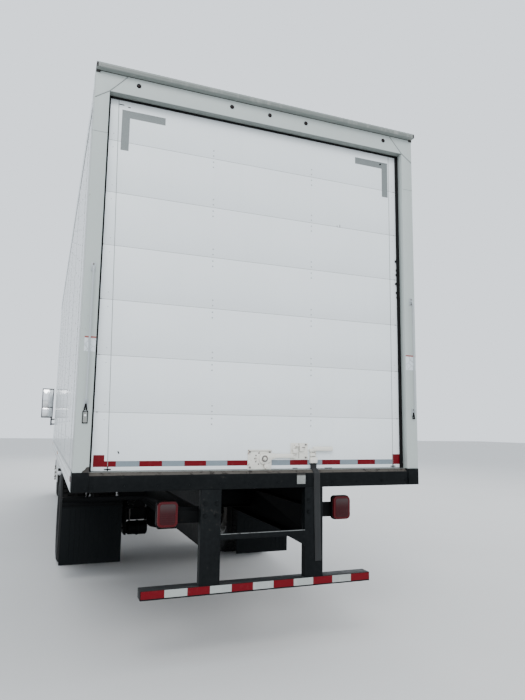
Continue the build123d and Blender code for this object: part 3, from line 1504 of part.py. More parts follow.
# Rear lamps: two tail lamps and five marker lamps in the header
MARKER_RADIUS = 13.5
MARKER_PROUD = 8.0
MARKER_Z = HEADER_TOP - 49
MARKERS = (999.0, 306.0, 0.0, -306.0, -1016.0)

with BuildPart() as rear_lamps:
    for name, sign in SIDES:
        lens = bevelled(TAIL_X, TAIL_Z, 18)
        prism(across(ahead(TAIL_FACE)), [(sign * x, z) for x, z in lens], TAIL_DEPTH)
    for x in MARKERS:
        bar(across(REAR_FACE + MARKER_PROUD), (x, MARKER_Z), MARKER_RADIUS, MARKER_PROUD, sides=12)
write(rear_lamps, "rear_lamps")

# Underride guard: a bar on two risers, a cross angle and its gusset
RISER_X = (315.0, 457.0)
GUARD_HALF = 842.0
GUARD_BOTTOM = 442.0
GUARD_HEIGHT = 62.0
GUARD_DEPTH = 100.0
ANGLE_Z = (792.0, 830.0)
ANGLE_LEG = 38.0
ANGLE_WALL = 6.0
GUSSET = (130.0, 70.0)

with BuildPart() as underride_guard:
    block(
        (-GUARD_HALF, GUARD_HALF),
        (REAR_FACE, REAR_FACE - GUARD_DEPTH),
        (GUARD_BOTTOM, GUARD_BOTTOM + GUARD_HEIGHT),
    )
    for name, sign in SIDES:
        block(
            (sign * RISER_X[0], sign * RISER_X[1]),
            (REAR_FACE, REAR_FACE - POST_DEPTH),
            (GUARD_BOTTOM + GUARD_HEIGHT, SILL_BOTTOM),
        )
    block((-RISER_X[0], RISER_X[0]), (REAR_FACE, REAR_FACE - ANGLE_WALL), ANGLE_Z)
    block(
        (-RISER_X[0], RISER_X[0]),
        (REAR_FACE, REAR_FACE - ANGLE_LEG),
        (ANGLE_Z[1] - ANGLE_WALL, ANGLE_Z[1]),
    )
    prism(
        across(REAR_FACE),
        (
            (-RISER_X[0], ANGLE_Z[0]),
            (-RISER_X[0] + GUSSET[0], ANGLE_Z[0]),
            (-RISER_X[0], ANGLE_Z[0] - GUSSET[1]),
        ),
        ANGLE_WALL,
    )
write(underride_guard, "underride_guard")

FLAP_HALF_THICKNESS = 5.0
with BuildPart() as mud_flaps:
    for name, sign in SIDES:
        block(
            (sign * FLAPS[sign][0], sign * FLAPS[sign][1]),
            (ahead(FLAP_STATION) - FLAP_HALF_THICKNESS, ahead(FLAP_STATION) + FLAP_HALF_THICKNESS),
            (FLAP_BOTTOM, ARM_BOTTOM),
        )
write(mud_flaps, "mud_flaps")
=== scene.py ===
"""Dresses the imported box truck: paint, tape, rivets, lamps, latch, strap, tyres, wheels, cab and seats.

Metres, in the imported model's frame: the rear faces +Y, the left side is +X, and the ground is at zero.
"""

from __future__ import annotations

import functools
import json
import logging
import math
from collections.abc import Callable, Iterable, Sequence
from dataclasses import dataclass, field
from enum import Enum

import bmesh
import bpy
from mathutils import Matrix, Vector

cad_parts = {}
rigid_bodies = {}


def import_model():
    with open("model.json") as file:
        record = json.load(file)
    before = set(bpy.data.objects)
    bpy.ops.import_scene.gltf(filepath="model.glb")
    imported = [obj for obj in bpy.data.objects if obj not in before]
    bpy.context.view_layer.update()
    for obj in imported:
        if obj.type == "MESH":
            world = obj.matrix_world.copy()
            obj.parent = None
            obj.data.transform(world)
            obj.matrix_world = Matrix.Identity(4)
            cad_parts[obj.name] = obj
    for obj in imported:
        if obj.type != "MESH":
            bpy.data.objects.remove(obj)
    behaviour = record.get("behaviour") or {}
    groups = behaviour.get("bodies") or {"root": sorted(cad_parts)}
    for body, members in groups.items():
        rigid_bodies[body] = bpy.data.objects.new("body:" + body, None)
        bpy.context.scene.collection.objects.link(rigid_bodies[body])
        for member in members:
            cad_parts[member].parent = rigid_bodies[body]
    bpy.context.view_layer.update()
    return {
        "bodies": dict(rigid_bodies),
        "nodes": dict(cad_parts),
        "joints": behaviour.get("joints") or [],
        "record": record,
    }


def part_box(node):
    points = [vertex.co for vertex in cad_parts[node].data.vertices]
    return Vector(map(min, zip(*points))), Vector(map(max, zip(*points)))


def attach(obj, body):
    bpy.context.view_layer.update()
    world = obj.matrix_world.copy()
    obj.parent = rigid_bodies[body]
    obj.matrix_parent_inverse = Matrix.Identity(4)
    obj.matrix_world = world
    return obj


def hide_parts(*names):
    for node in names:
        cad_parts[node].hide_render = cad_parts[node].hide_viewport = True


log = logging.getLogger("box_truck")

Colour = tuple[float, float, float]
Point = Sequence[float]
Pair = tuple[float, float]

REAR_FACE = 5.340
DOOR_FACE = 5.270
BODY_FRONT = -2.585
HALF_BODY = 1.2955
WALL_BOTTOM = 1.115
WALL_TOP = 3.925
SILL_TOP = 1.250
SILL_SLOPE = 0.038
SILL_FALL = 0.026
HEADER_BOTTOM = 3.856
HEADER_TOP = 3.993
AXLE_Z = 0.506
FRONT_AXLE = -4.370
REAR_AXLE = 2.020
FRONT_WHEEL_X = 1.000
DUAL_MIDDLE_X = 0.965
DUAL_OUTER_X = 1.130
DUAL_INNER_X = 0.800


class Side(Enum):
    """A side of the truck, with the sign of its X."""

    LEFT = 1
    RIGHT = -1

    @property
    def word(self) -> str:
        """The side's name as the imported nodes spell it."""
        return self.name.lower()

    def x(self, out: float) -> float:
        """X of a place that far out from the middle."""
        return self.value * out


class Slot(Enum):
    """The record's material slots."""

    BODY = "body_paint"
    BLACK = "black_steel"
    WHEEL = "white_wheel"
    TYRE = "rubber_tyre"
    RUBBER = "rubber"
    GLASS = "glass"
    RED = "lamp_red"
    CLEAR = "lamp_clear"
    AMBER = "lamp_amber"
    ALUMINIUM = "aluminium"
    PLASTIC = "dark_plastic"
    CLOTH = "seat_cloth"
    WEBBING = "webbing"
    LATCH = "latch_paint"


class Shade:
    """A node's output that Python's own operators build on."""

    def __init__(self, recipe: "Recipe", socket: bpy.types.NodeSocket) -> None:
        """Keep the recipe that owns the node, and its socket."""
        self.recipe = recipe
        self.socket = socket

    def _math(self, operation: str, first: "Shade | float", second: "Shade | float") -> "Shade":
        """Add a Math node on two values."""
        return self.recipe.add("ShaderNodeMath", {"operation": operation}, {0: first, 1: second})

    def __add__(self, other: "Shade | float") -> "Shade":
        """Sum."""
        return self._math("ADD", self, other)

    __radd__ = __add__

    def __sub__(self, other: "Shade | float") -> "Shade":
        """Difference."""
        return self._math("SUBTRACT", self, other)

    def __rsub__(self, other: float) -> "Shade":
        """Difference, with the number first."""
        return self._math("SUBTRACT", other, self)

    def __mul__(self, other: "Shade | float") -> "Shade":
        """Product."""
        return self._math("MULTIPLY", self, other)

    __rmul__ = __mul__

    def __truediv__(self, other: "Shade | float") -> "Shade":
        """Quotient."""
        return self._math("DIVIDE", self, other)

    def fraction(self) -> "Shade":
        """What is left over a whole number."""
        return self._math("FRACT", self, 0.0)

    def absolute(self) -> "Shade":
        """Size without its sign."""
        return self._math("ABSOLUTE", self, 0.0)

    def least(self, other: "Shade | float") -> "Shade":
        """The smaller of two values."""
        return self._math("MINIMUM", self, other)

    def most(self, other: "Shade | float") -> "Shade":
        """The larger of two values."""
        return self._math("MAXIMUM", self, other)

    def rise(self, low: float, high: float) -> "Shade":
        """A smooth step.

        Args:
            low: The value at which the step starts.
            high: The value at which it is complete, which may be the lower one.

        Returns:
            Zero before the step and one after it.
        """
        flip = low > high
        ends = {1: min(low, high), 2: max(low, high), 3: float(flip), 4: float(not flip)}
        return self.recipe.add("ShaderNodeMapRange", {"interpolation_type": "SMOOTHSTEP"}, {0: self, **ends})


class Recipe:
    """The node tree of one material."""

    def __init__(self, name: str) -> None:
        """Start an empty tree that reads Object coordinates.

        Args:
            name: The material's name.
        """
        self.material = bpy.data.materials.new(name)
        self.material.use_nodes = True
        self.tree = self.material.node_tree
        self.tree.nodes.clear()
        self.place = self.add("ShaderNodeTexCoord", out="Object")

    def add(
        self,
        kind: str,
        settings: dict[str, object] | None = None,
        values: dict[int | str, object] | None = None,
        out: int | str = 0,
    ) -> Shade:
        """Add any node.

        Args:
            kind: The node's type.
            settings: Its settings, set first, such as an operation.
            values: Values or links of its sockets, by name or number.
            out: The output that is wanted.

        Returns:
            That output.
        """
        node = self.tree.nodes.new(kind)
        for key, value in (settings or {}).items():
            setattr(node, key, value)
        for key, value in (values or {}).items():
            if isinstance(value, Shade):
                self.tree.links.new(value.socket, node.inputs[key])
            else:
                node.inputs[key].default_value = value
        return Shade(self, node.outputs[out])

    def axis(self, letter: str) -> Shade:
        """The X, Y or Z of the place on the truck."""
        return self.add("ShaderNodeSeparateXYZ", None, {0: self.place}, letter)

    def stretched(self, scale: Point) -> Shade:
        """Object coordinates, stretched on each axis."""
        return self.add("ShaderNodeMapping", None, {"Vector": self.place, "Scale": tuple(scale)})

    def noise(
        self, scale: float, detail: float = 3.0, stretch: Point = (1, 1, 1), rough: float = 0.55
    ) -> Shade:
        """Noise from 0 to 1.

        Args:
            scale: Features per metre.
            detail: Octaves.
            stretch: Scale on each axis.
            rough: Strength of the fine octaves.

        Returns:
            The noise.
        """
        values = {"Vector": self.stretched(stretch), "Scale": scale, "Detail": detail, "Roughness": rough}
        return self.add("ShaderNodeTexNoise", None, values)

    def cells(self, scale: float, feature: str = "F1") -> Shade:
        """Distance to the points of a cell pattern."""
        values = {"Vector": self.stretched((1, 1, 1)), "Scale": scale}
        return self.add("ShaderNodeTexVoronoi", {"feature": feature}, values, "Distance")

    def stripes(self, letter: str, count: float) -> Shade:
        """Distance from the middle of a stripe, with that many stripes a metre along an axis."""
        return ((self.axis(letter) * count).fraction() - 0.5).absolute()

    def mix(self, factor: Shade | float, first: object, second: object) -> Shade:
        """Mix two colours.

        Args:
            factor: How much of the second.
            first: A colour, or a link.
            second: A colour, or a link.

        Returns:
            The mixed colour.
        """
        paints = [value if isinstance(value, Shade) else (*value, 1.0) for value in (first, second)]
        return self.add("ShaderNodeMix", {"data_type": "RGBA"}, {0: factor, 6: paints[0], 7: paints[1]}, 2)

    def bump(self, height: Shade, distance: float, strength: float = 1.0) -> Shade:
        """A normal from a height.

        Args:
            height: The height, from 0 to 1.
            distance: Its depth in metres.
            strength: How much of it shows.

        Returns:
            The normal.
        """
        values = {"Strength": strength, "Distance": distance, "Height": height}
        return self.add("ShaderNodeBump", None, values)

    def finish(self, values: dict[str, object]) -> bpy.types.Material:
        """Close the tree with its shader.

        Args:
            values: Values or links of the Principled shader's sockets.

        Returns:
            The material.
        """
        paints = {
            key: (*value, 1.0) if isinstance(value, tuple) and len(value) == 3 else value
            for key, value in values.items()
        }
        shader = self.add("ShaderNodeBsdfPrincipled", None, paints)
        output = self.tree.nodes.new("ShaderNodeOutputMaterial")
        self.tree.links.new(shader.socket, output.inputs["Surface"])
        return self.material


def scaled(colour: Colour, by: float, more: float = 0.0) -> Colour:
    """A colour made darker or paler, and no brighter than white."""
    return tuple(min(1.0, part * by + more) for part in colour)


@dataclass(frozen=True)
class Finish:
    """A named finish, whose shader each kind of surface fills in."""

    name: str

    def sockets(self, r: Recipe) -> dict[str, object]:
        """Values or links of the shader's sockets, by name."""
        raise NotImplementedError

    def make(self) -> bpy.types.Material:
        """The finished material."""
        r = Recipe(self.name)
        return r.finish(self.sockets(r))


@dataclass(frozen=True)
class Paint(Finish):
    """Sprayed paint under road film, rain streaks, dust and chips."""

    colour: Colour
    roughness: float = 0.3
    coat: float = 0.25
    film: float = 0.25
    film_colour: Colour = (0.42, 0.42, 0.39)
    film_top: float = 1.6
    streaks: float = 0.12
    chips: float = 0.0
    chip_colour: Colour = (0.16, 0.08, 0.045)
    peel: float = 0.00004
    metallic: float = 0.0
    shine: float = 0.5
    film_reach: float = 1.3
    patch: float = 1.7
    speck: float = 38.0
    run: Point = (21, 21, 0.9)
    nick: float = 26.0
    orange_peel: float = 420.0

    def sockets(self, r: Recipe) -> dict[str, object]:
        """Fill in the shader.

        Args:
            r: The material's tree.

        Returns:
            The sockets' values or links, by name.
        """
        cloud = r.noise(self.patch, 4)
        fine = r.noise(self.speck, 3)
        runs = r.noise(1.0, 4, self.run).rise(0.5, 0.75)
        low = r.axis("Z").rise(self.film_top, self.film_top - self.film_reach)
        tone = r.mix(cloud.rise(0.3, 0.7) * 0.5, self.colour, scaled(self.colour, 0.94))
        marks = runs * self.streaks + (cloud * 0.6 + fine * 0.6).rise(0.45, 0.85) * low * self.film
        dirt = marks.least(0.9)
        shown = r.mix(dirt, tone, self.film_colour)
        rough = dirt * 0.45 + (self.roughness + fine.rise(0.2, 0.9) * 0.06)
        height = r.noise(self.orange_peel, 2)
        if self.chips:
            wear = r.noise(self.nick, 5, rough=0.7) * 0.7 + cloud * 0.3
            nicks = wear.rise(0.66 - self.chips * 0.16, 0.72 - self.chips * 0.12)
            shown = r.mix(nicks, shown, self.chip_colour)
            rough = rough + nicks * 0.3
            height = height - nicks
        return {
            "Base Color": shown,
            "Roughness": rough,
            "Metallic": self.metallic,
            "Normal": r.bump(height, self.peel),
            "Specular IOR Level": self.shine,
            "Coat Weight": self.coat,
            "Coat Roughness": 0.12,
        }


@dataclass(frozen=True)
class SheetMetal(Finish):
    """Thin painted sheets that dish between their posts."""

    colour: Colour
    pitch: float
    start: float
    along: str = "Y"
    roughness: float = 0.16
    dishing: float = 0.004
    streaks: float = 0.14
    coat: float = 0.35
    grime: Colour = (0.36, 0.36, 0.34)
    run: Point = (14, 14, 0.6)
    splash: Pair = (1.5, 1.1)

    def sockets(self, r: Recipe) -> dict[str, object]:
        """Fill in the shader.

        Args:
            r: The material's tree.

        Returns:
            The sockets' values or links, by name.
        """
        bay = ((r.axis(self.along) - self.start) / self.pitch).fraction()
        dish = (bay - 0.5).absolute()
        swell = dish * dish * 4.0 + r.noise(1.1, 2) * 0.9
        runs = r.noise(1.0, 4, self.run).rise(0.48, 0.8)
        low = r.axis("Z").rise(*self.splash) * r.noise(9, 4).rise(0.3, 0.8)
        grime = (runs * self.streaks + low * 0.4).least(0.8)
        return {
            "Base Color": r.mix(grime, self.colour, self.grime),
            "Roughness": grime * 0.5 + self.roughness,
            "Normal": r.bump(swell, self.dishing),
            "Coat Weight": self.coat,
            "Coat Roughness": 0.06,
        }


@dataclass(frozen=True)
class Tape(Finish):
    """Reflective tape with its fine cells, faded and dusty."""

    colour: Colour
    cell: float = 260.0
    dust: float = 0.25
    coat: float = 0.4
    shine: float = 0.4
    faded: Colour = (0.5, 0.48, 0.45)

    def sockets(self, r: Recipe) -> dict[str, object]:
        """Fill in the shader.

        Args:
            r: The material's tree.

        Returns:
            The sockets' values or links, by name.
        """
        walls = r.cells(self.cell, "DISTANCE_TO_EDGE").rise(0.0, 0.08)
        wear = r.noise(24, 4).rise(0.55, 0.85) * self.dust
        tone = r.mix(walls, scaled(self.colour, 0.72), self.colour)
        return {
            "Base Color": r.mix(wear, tone, self.faded),
            "Roughness": wear * 0.5 + 0.3,
            "Normal": r.bump(walls, 0.0002),
            "Specular IOR Level": self.shine,
            "Coat Weight": self.coat,
            "Coat Roughness": 0.15,
        }


@dataclass(frozen=True)
class Lens(Finish):
    """Moulded lamp plastic with small prisms inside."""

    colour: Colour
    prism: float = 90.0
    see_through: float = 0.25
    ribs: str = "Z"
    top: Pair | None = None
    top_colour: Colour = (0.3, 0.25, 0.25)

    def sockets(self, r: Recipe) -> dict[str, object]:
        """Fill in the shader.

        Args:
            r: The material's tree.

        Returns:
            The sockets' values or links, by name.
        """
        ridge = r.stripes(self.ribs, self.prism)
        dots = r.cells(self.prism * 1.6)
        film = r.noise(30, 3).rise(0.5, 0.9) * 0.2
        tone = r.mix(ridge, self.colour, scaled(self.colour, 1.3, 0.004))
        if self.top:
            tone = r.mix(r.axis("Z").rise(*self.top), tone, self.top_colour)
        return {
            "Base Color": r.mix(film, tone, scaled(self.colour, 0.8, 0.01)),
            "Roughness": film + 0.12,
            "Specular IOR Level": 0.15,
            "Transmission Weight": self.see_through,
            "IOR": 1.49,
            "Normal": r.bump(ridge + dots * 0.4, 0.0008, 0.6),
            "Coat Weight": 0.12,
            "Coat Roughness": 0.08,
        }


@dataclass(frozen=True)
class Rubber(Finish):
    """Dull rubber with dust, dark where it is rubbed."""

    colour: Colour = (0.022, 0.022, 0.023)
    dust: float = 0.35
    grain: float = 180.0
    depth: float = 0.0006
    dust_colour: Colour = (0.16, 0.15, 0.135)
    shine: float = 0.4

    def sockets(self, r: Recipe) -> dict[str, object]:
        """Fill in the shader.

        Args:
            r: The material's tree.

        Returns:
            The sockets' values or links, by name.
        """
        blotch = (r.noise(6, 5) * 0.7 + r.noise(70, 3) * 0.3).rise(0.4, 0.75)
        return {
            "Base Color": r.mix(blotch * self.dust, self.colour, self.dust_colour),
            "Roughness": blotch * 0.25 + 0.62,
            "Specular IOR Level": self.shine,
            "Normal": r.bump(r.noise(self.grain, 3), self.depth, 0.6),
        }


@dataclass(frozen=True)
class Metal(Finish):
    """Bare metal, brushed along one axis, with a dull film."""

    colour: Colour = (0.62, 0.63, 0.64)
    roughness: float = 0.34
    brush: Point = (1, 90, 90)
    film: float = 0.3
    film_colour: Colour = (0.3, 0.29, 0.27)

    def sockets(self, r: Recipe) -> dict[str, object]:
        """Fill in the shader.

        Args:
            r: The material's tree.

        Returns:
            The sockets' values or links, by name.
        """
        lines = r.noise(6, 3, self.brush)
        dull = r.noise(5, 5).rise(0.4, 0.8) * self.film
        return {
            "Base Color": r.mix(dull, self.colour, self.film_colour),
            "Metallic": 1.0 - dull * 0.7,
            "Roughness": dull * 0.4 + lines * 0.12 + self.roughness,
            "Normal": r.bump(lines, 0.0001),
        }


@dataclass(frozen=True)
class Glazing(Finish):
    """Tinted window glass with a little dust."""

    tint: Colour = (0.62, 0.70, 0.70)

    def sockets(self, r: Recipe) -> dict[str, object]:
        """Fill in the shader.

        Args:
            r: The material's tree.

        Returns:
            The sockets' values or links, by name.
        """
        dust = r.noise(14, 4).rise(0.5, 0.9) * 0.1
        return {
            "Base Color": self.tint,
            "Roughness": dust + 0.02,
            "Transmission Weight": 0.94,
            "IOR": 1.45,
            "Normal": r.bump(r.noise(2, 1), 0.0004),
        }


@dataclass(frozen=True)
class Moulding(Finish):
    """Moulded plastic with a fine leather grain."""

    colour: Colour = (0.03, 0.03, 0.032)
    roughness: float = 0.5
    grain: float = 520.0
    dust_colour: Colour = (0.2, 0.19, 0.18)

    def sockets(self, r: Recipe) -> dict[str, object]:
        """Fill in the shader.

        Args:
            r: The material's tree.

        Returns:
            The sockets' values or links, by name.
        """
        pebbles = r.cells(self.grain, "SMOOTH_F1")
        dust = r.noise(8, 4).rise(0.45, 0.85) * 0.25
        return {
            "Base Color": r.mix(dust, self.colour, self.dust_colour),
            "Roughness": dust * 0.4 + self.roughness,
            "Normal": r.bump(pebbles, 0.0003, 0.7),
        }


@dataclass(frozen=True)
class Weave(Finish):
    """Woven cloth or webbing, with crossing yarns."""

    colour: Colour
    yarns: float = 700.0
    axes: tuple[str, str] = ("X", "Z")
    fuzz: float = 0.3

    def sockets(self, r: Recipe) -> dict[str, object]:
        """Fill in the shader.

        Args:
            r: The material's tree.

        Returns:
            The sockets' values or links, by name.
        """
        warp, weft = (r.stripes(letter, self.yarns) * 2.0 for letter in self.axes)
        cloth = warp.most(weft)
        fade = r.noise(7, 4).rise(0.35, 0.75) * 0.5
        return {
            "Base Color": r.mix(fade * cloth, self.colour, scaled(self.colour, 2.4, 0.004)),
            "Roughness": fade * 0.1 + 0.82,
            "Normal": r.bump(cloth, 0.0004),
            "Sheen Weight": self.fuzz,
            "Sheen Roughness": 0.5,
        }


@dataclass(frozen=True)
class Planks(Finish):
    """Laminated hardwood floor, in strips along the body."""

    colour: Colour = (0.32, 0.19, 0.10)
    strip: float = 0.032
    gap_colour: Colour = (0.05, 0.03, 0.02)

    def sockets(self, r: Recipe) -> dict[str, object]:
        """Fill in the shader.

        Args:
            r: The material's tree.

        Returns:
            The sockets' values or links, by name.
        """
        seam = ((r.axis("X") / self.strip).fraction() - 0.5).absolute().rise(0.44, 0.49)
        grain = r.noise(9, 5, (14, 0.8, 14))
        tone = r.mix(grain, self.colour, scaled(self.colour, 0.5))
        return {
            "Base Color": r.mix(seam, tone, self.gap_colour),
            "Roughness": grain * 0.3 + 0.45,
            "Normal": r.bump(grain - seam, 0.0006),
        }


@functools.cache
def material(finish: Finish) -> bpy.types.Material:
    """The material of a finish, made at its first use."""
    return finish.make()


WHITE = Paint("body_white", (0.76, 0.79, 0.80), 0.24, 0.5, film=0.2, streaks=0.05)
DOOR_SKIN = Paint("door_skin", (0.78, 0.82, 0.835), 0.2, 0.6, film=0.12, film_top=1.9, streaks=0.03,
                  peel=0.00008)
FRAME_WHITE = Paint("frame_white", (0.43, 0.475, 0.455), 0.36, 0.25, film=0.5, film_top=2.0, streaks=0.16,
                    chips=0.12)
CAP_GREY = Paint("cap_grey", (0.14, 0.155, 0.142), 0.45, 0.1, film=0.2, streaks=0.3, chips=0.3)
# Painted shade on the underside of the header, and the grey of the roof cap's faces.
CAP_AND_SOFFIT_SHADE_GREY = Paint("soffit_grey", (0.20, 0.222, 0.21), 0.5, 0.0, film=0.3, streaks=0.2)
# Grey for welds and sealant lines, and painted shade in the door's joints.
SEAM_AND_SHADE_GREY = Paint("seam_grey", (0.20, 0.215, 0.21), 0.5, 0.0, film=0.2, streaks=0.2)
# Rivets and grab rods are painted grey, darker than the white: part dirt, part painted shade.
RIVET_GREY_AND_SHADE = Paint("rivet_grey", (0.36, 0.39, 0.40), 0.4, 0.1, film=0.2, streaks=0.1)
CAB_WHITE = Paint("cab_white", (0.78, 0.80, 0.80), 0.18, 0.9, film=0.3, film_top=1.2, streaks=0.04)
WHEEL_WHITE = Paint("wheel_white", (0.62, 0.62, 0.60), 0.34, 0.3, film=0.55, film_top=2.2, streaks=0.1,
                    chips=0.3)
BLACK = Paint("black_chassis", (0.0022, 0.0026, 0.003), 0.5, 0.0, film=0.12,
              film_colour=(0.016, 0.016, 0.015), film_top=2.0, streaks=0.05, chips=0.25,
              chip_colour=(0.016, 0.011, 0.008), shine=0.07)
SILL_BLACK = Paint("sill_black", (0.0022, 0.003, 0.0036), 0.42, 0.0, film=0.2,
                   film_colour=(0.018, 0.021, 0.021), film_top=2.4, streaks=0.1, chips=0.35,
                   chip_colour=(0.022, 0.021, 0.019), shine=0.09)
# The sill's lip: worn, chipped paint, and paler as a painted highlight where it catches the light.
WORN_LIP_AND_HIGHLIGHT = Paint("worn_lip", (0.062, 0.056, 0.049), 0.6, 0.0, film=0.5, film_colour=(0.11, 0.10, 0.088),
                 film_top=2.4, streaks=0.3, chips=0.9, chip_colour=(0.025, 0.022, 0.02), shine=0.15)
# The cross angle's bright edge: a painted highlight, with worn chips.
WORN_EDGE_AND_HIGHLIGHT = Paint("worn_edge", (0.20, 0.21, 0.205), 0.5, 0.0, film=0.3, film_colour=(0.1, 0.1, 0.095),
                  film_top=2.4, streaks=0.4, chips=0.8, chip_colour=(0.03, 0.028, 0.026), shine=0.3)
# The guard bar's top: scuffed, and paler as a painted highlight.
SCUFFED_AND_HIGHLIGHT = Paint("scuffed_black", (0.017, 0.019, 0.02), 0.5, 0.0, film=0.3,
                film_colour=(0.045, 0.045, 0.044), film_top=2.4, streaks=0.4, chips=0.8,
                chip_colour=(0.02, 0.018, 0.016), shine=0.2)
IRON = Paint("cast_iron", (0.03, 0.029, 0.028), 0.7, 0.0, film=0.6, film_colour=(0.08, 0.065, 0.05),
             film_top=2.2, streaks=0.1, chips=0.5, chip_colour=(0.08, 0.036, 0.018), peel=0.0004,
             shine=0.3)
ENGINE_GREY = Paint("engine_grey", (0.08, 0.085, 0.09), 0.55, 0.0, film=0.4, film_top=2.0, streaks=0.15,
                    peel=0.0003)
LATCH_WHITE = Paint("latch_white", (0.72, 0.70, 0.63), 0.42, 0.15, film=0.25, film_top=2.4, streaks=0.1,
                    chips=0.7, chip_colour=(0.20, 0.11, 0.06))
NUT_STEEL = Paint("nut_steel", (0.16, 0.15, 0.14), 0.5, 0.0, film=0.4, film_top=2.2, streaks=0.1,
                  chips=0.6, chip_colour=(0.14, 0.06, 0.03), metallic=0.6)
STRIKER_GREY = Paint("striker_grey", (0.19, 0.20, 0.19), 0.55, 0.0, film=0.4, film_top=2.2, streaks=0.2,
                     chips=0.6, chip_colour=(0.10, 0.075, 0.055))
# Painted shade: the white side sheets are coloured mid grey, much darker than the front wall's white.
SHADED_WALL_SHEET = SheetMetal("wall_sheet", (0.43, 0.458, 0.468), 0.406, BODY_FRONT, roughness=0.22,
                        streaks=0.25)
FRONT_SHEET = SheetMetal("front_sheet", (0.72, 0.75, 0.76), 0.61, 0.0, "X")
ROOF_SHEET = SheetMetal("roof_sheet", (0.70, 0.71, 0.71), 0.61, BODY_FRONT, roughness=0.3)
RED_TAPE = Tape("red_tape", (0.13, 0.0012, 0.006), dust=0.03, coat=0.02, shine=0.12)
PALE_TAPE = Tape("pale_tape", (0.18, 0.222, 0.25), dust=0.1, coat=0.1)
WHITE_TAPE = Tape("white_tape", (0.33, 0.35, 0.335), dust=0.5)
CORNER_TAPE = Tape("corner_tape", (0.17, 0.19, 0.188), dust=0.1, coat=0.1)
RED_LENS = Lens("red_lens", (0.06, 0.0006, 0.003), see_through=0.0)
LAMP_WINDOW = Lens("lamp_window", (0.028, 0.0012, 0.003), 70.0, 0.0, top=(0.955, 1.03),
                   top_colour=(0.05, 0.032, 0.032))
DARK_LENS = Lens("dark_lens", (0.010, 0.004, 0.005), 240.0, 0.0)
AMBER_LENS = Lens("amber_lens", (0.62, 0.2, 0.02), ribs="X")
CLEAR_LENS = Lens("clear_lens", (0.26, 0.28, 0.29), 60.0, 0.35, "X")
TYRE = Rubber("tyre_rubber", (0.006, 0.006, 0.006), 0.3, dust_colour=(0.03, 0.029, 0.027), shine=0.12)
SEAL = Rubber("black_seal", (0.004, 0.004, 0.0045), 0.2, 60.0, 0.0015, (0.025, 0.025, 0.024), shine=0.12)
FLAP = Rubber("flap_rubber", (0.0055, 0.0068, 0.0075), 0.35, 45.0, 0.001, (0.013, 0.014, 0.014),
              shine=0.07)
GREY_SEAL = Rubber("grey_seal", (0.09, 0.094, 0.09), 0.3, 90.0, 0.001)
BRIGHT = Metal("bright_aluminium")
TANK_METAL = Metal("tank_aluminium", (0.66, 0.67, 0.68), 0.28, (90, 1, 90))
PIPE_METAL = Metal("exhaust_steel", (0.30, 0.275, 0.25), 0.45, (1, 40, 1), 0.6)
CHROME = Metal("mirror_chrome", (0.82, 0.83, 0.84), 0.05, (1, 1, 1), 0.04)
WINDOW = Glazing("window_glass")
TRIM = Moulding("black_trim")
GRILLE_TRIM = Moulding("grille_trim", (0.05, 0.052, 0.055), 0.35)
CABIN_TRIM = Moulding("cabin_trim", (0.06, 0.062, 0.065), 0.6, 400.0)
SEAT_CLOTH = Weave("seat_cloth", (0.045, 0.047, 0.052))
STRAP_WEB = Weave("strap_webbing", (0.006, 0.0068, 0.0072), 420.0, fuzz=0.03)
FLOOR_WOOD = Planks("floor_wood")
LABEL_PALE = Tape("label_pale", (0.62, 0.665, 0.69), 20.0, 0.3)
LABEL_RED = Tape("label_red", (0.30, 0.075, 0.06), 20.0, 0.3)


def unique(items: Iterable[object]) -> list[object]:
    """The items once each, in the order in which they come."""
    return list(dict.fromkeys(items))


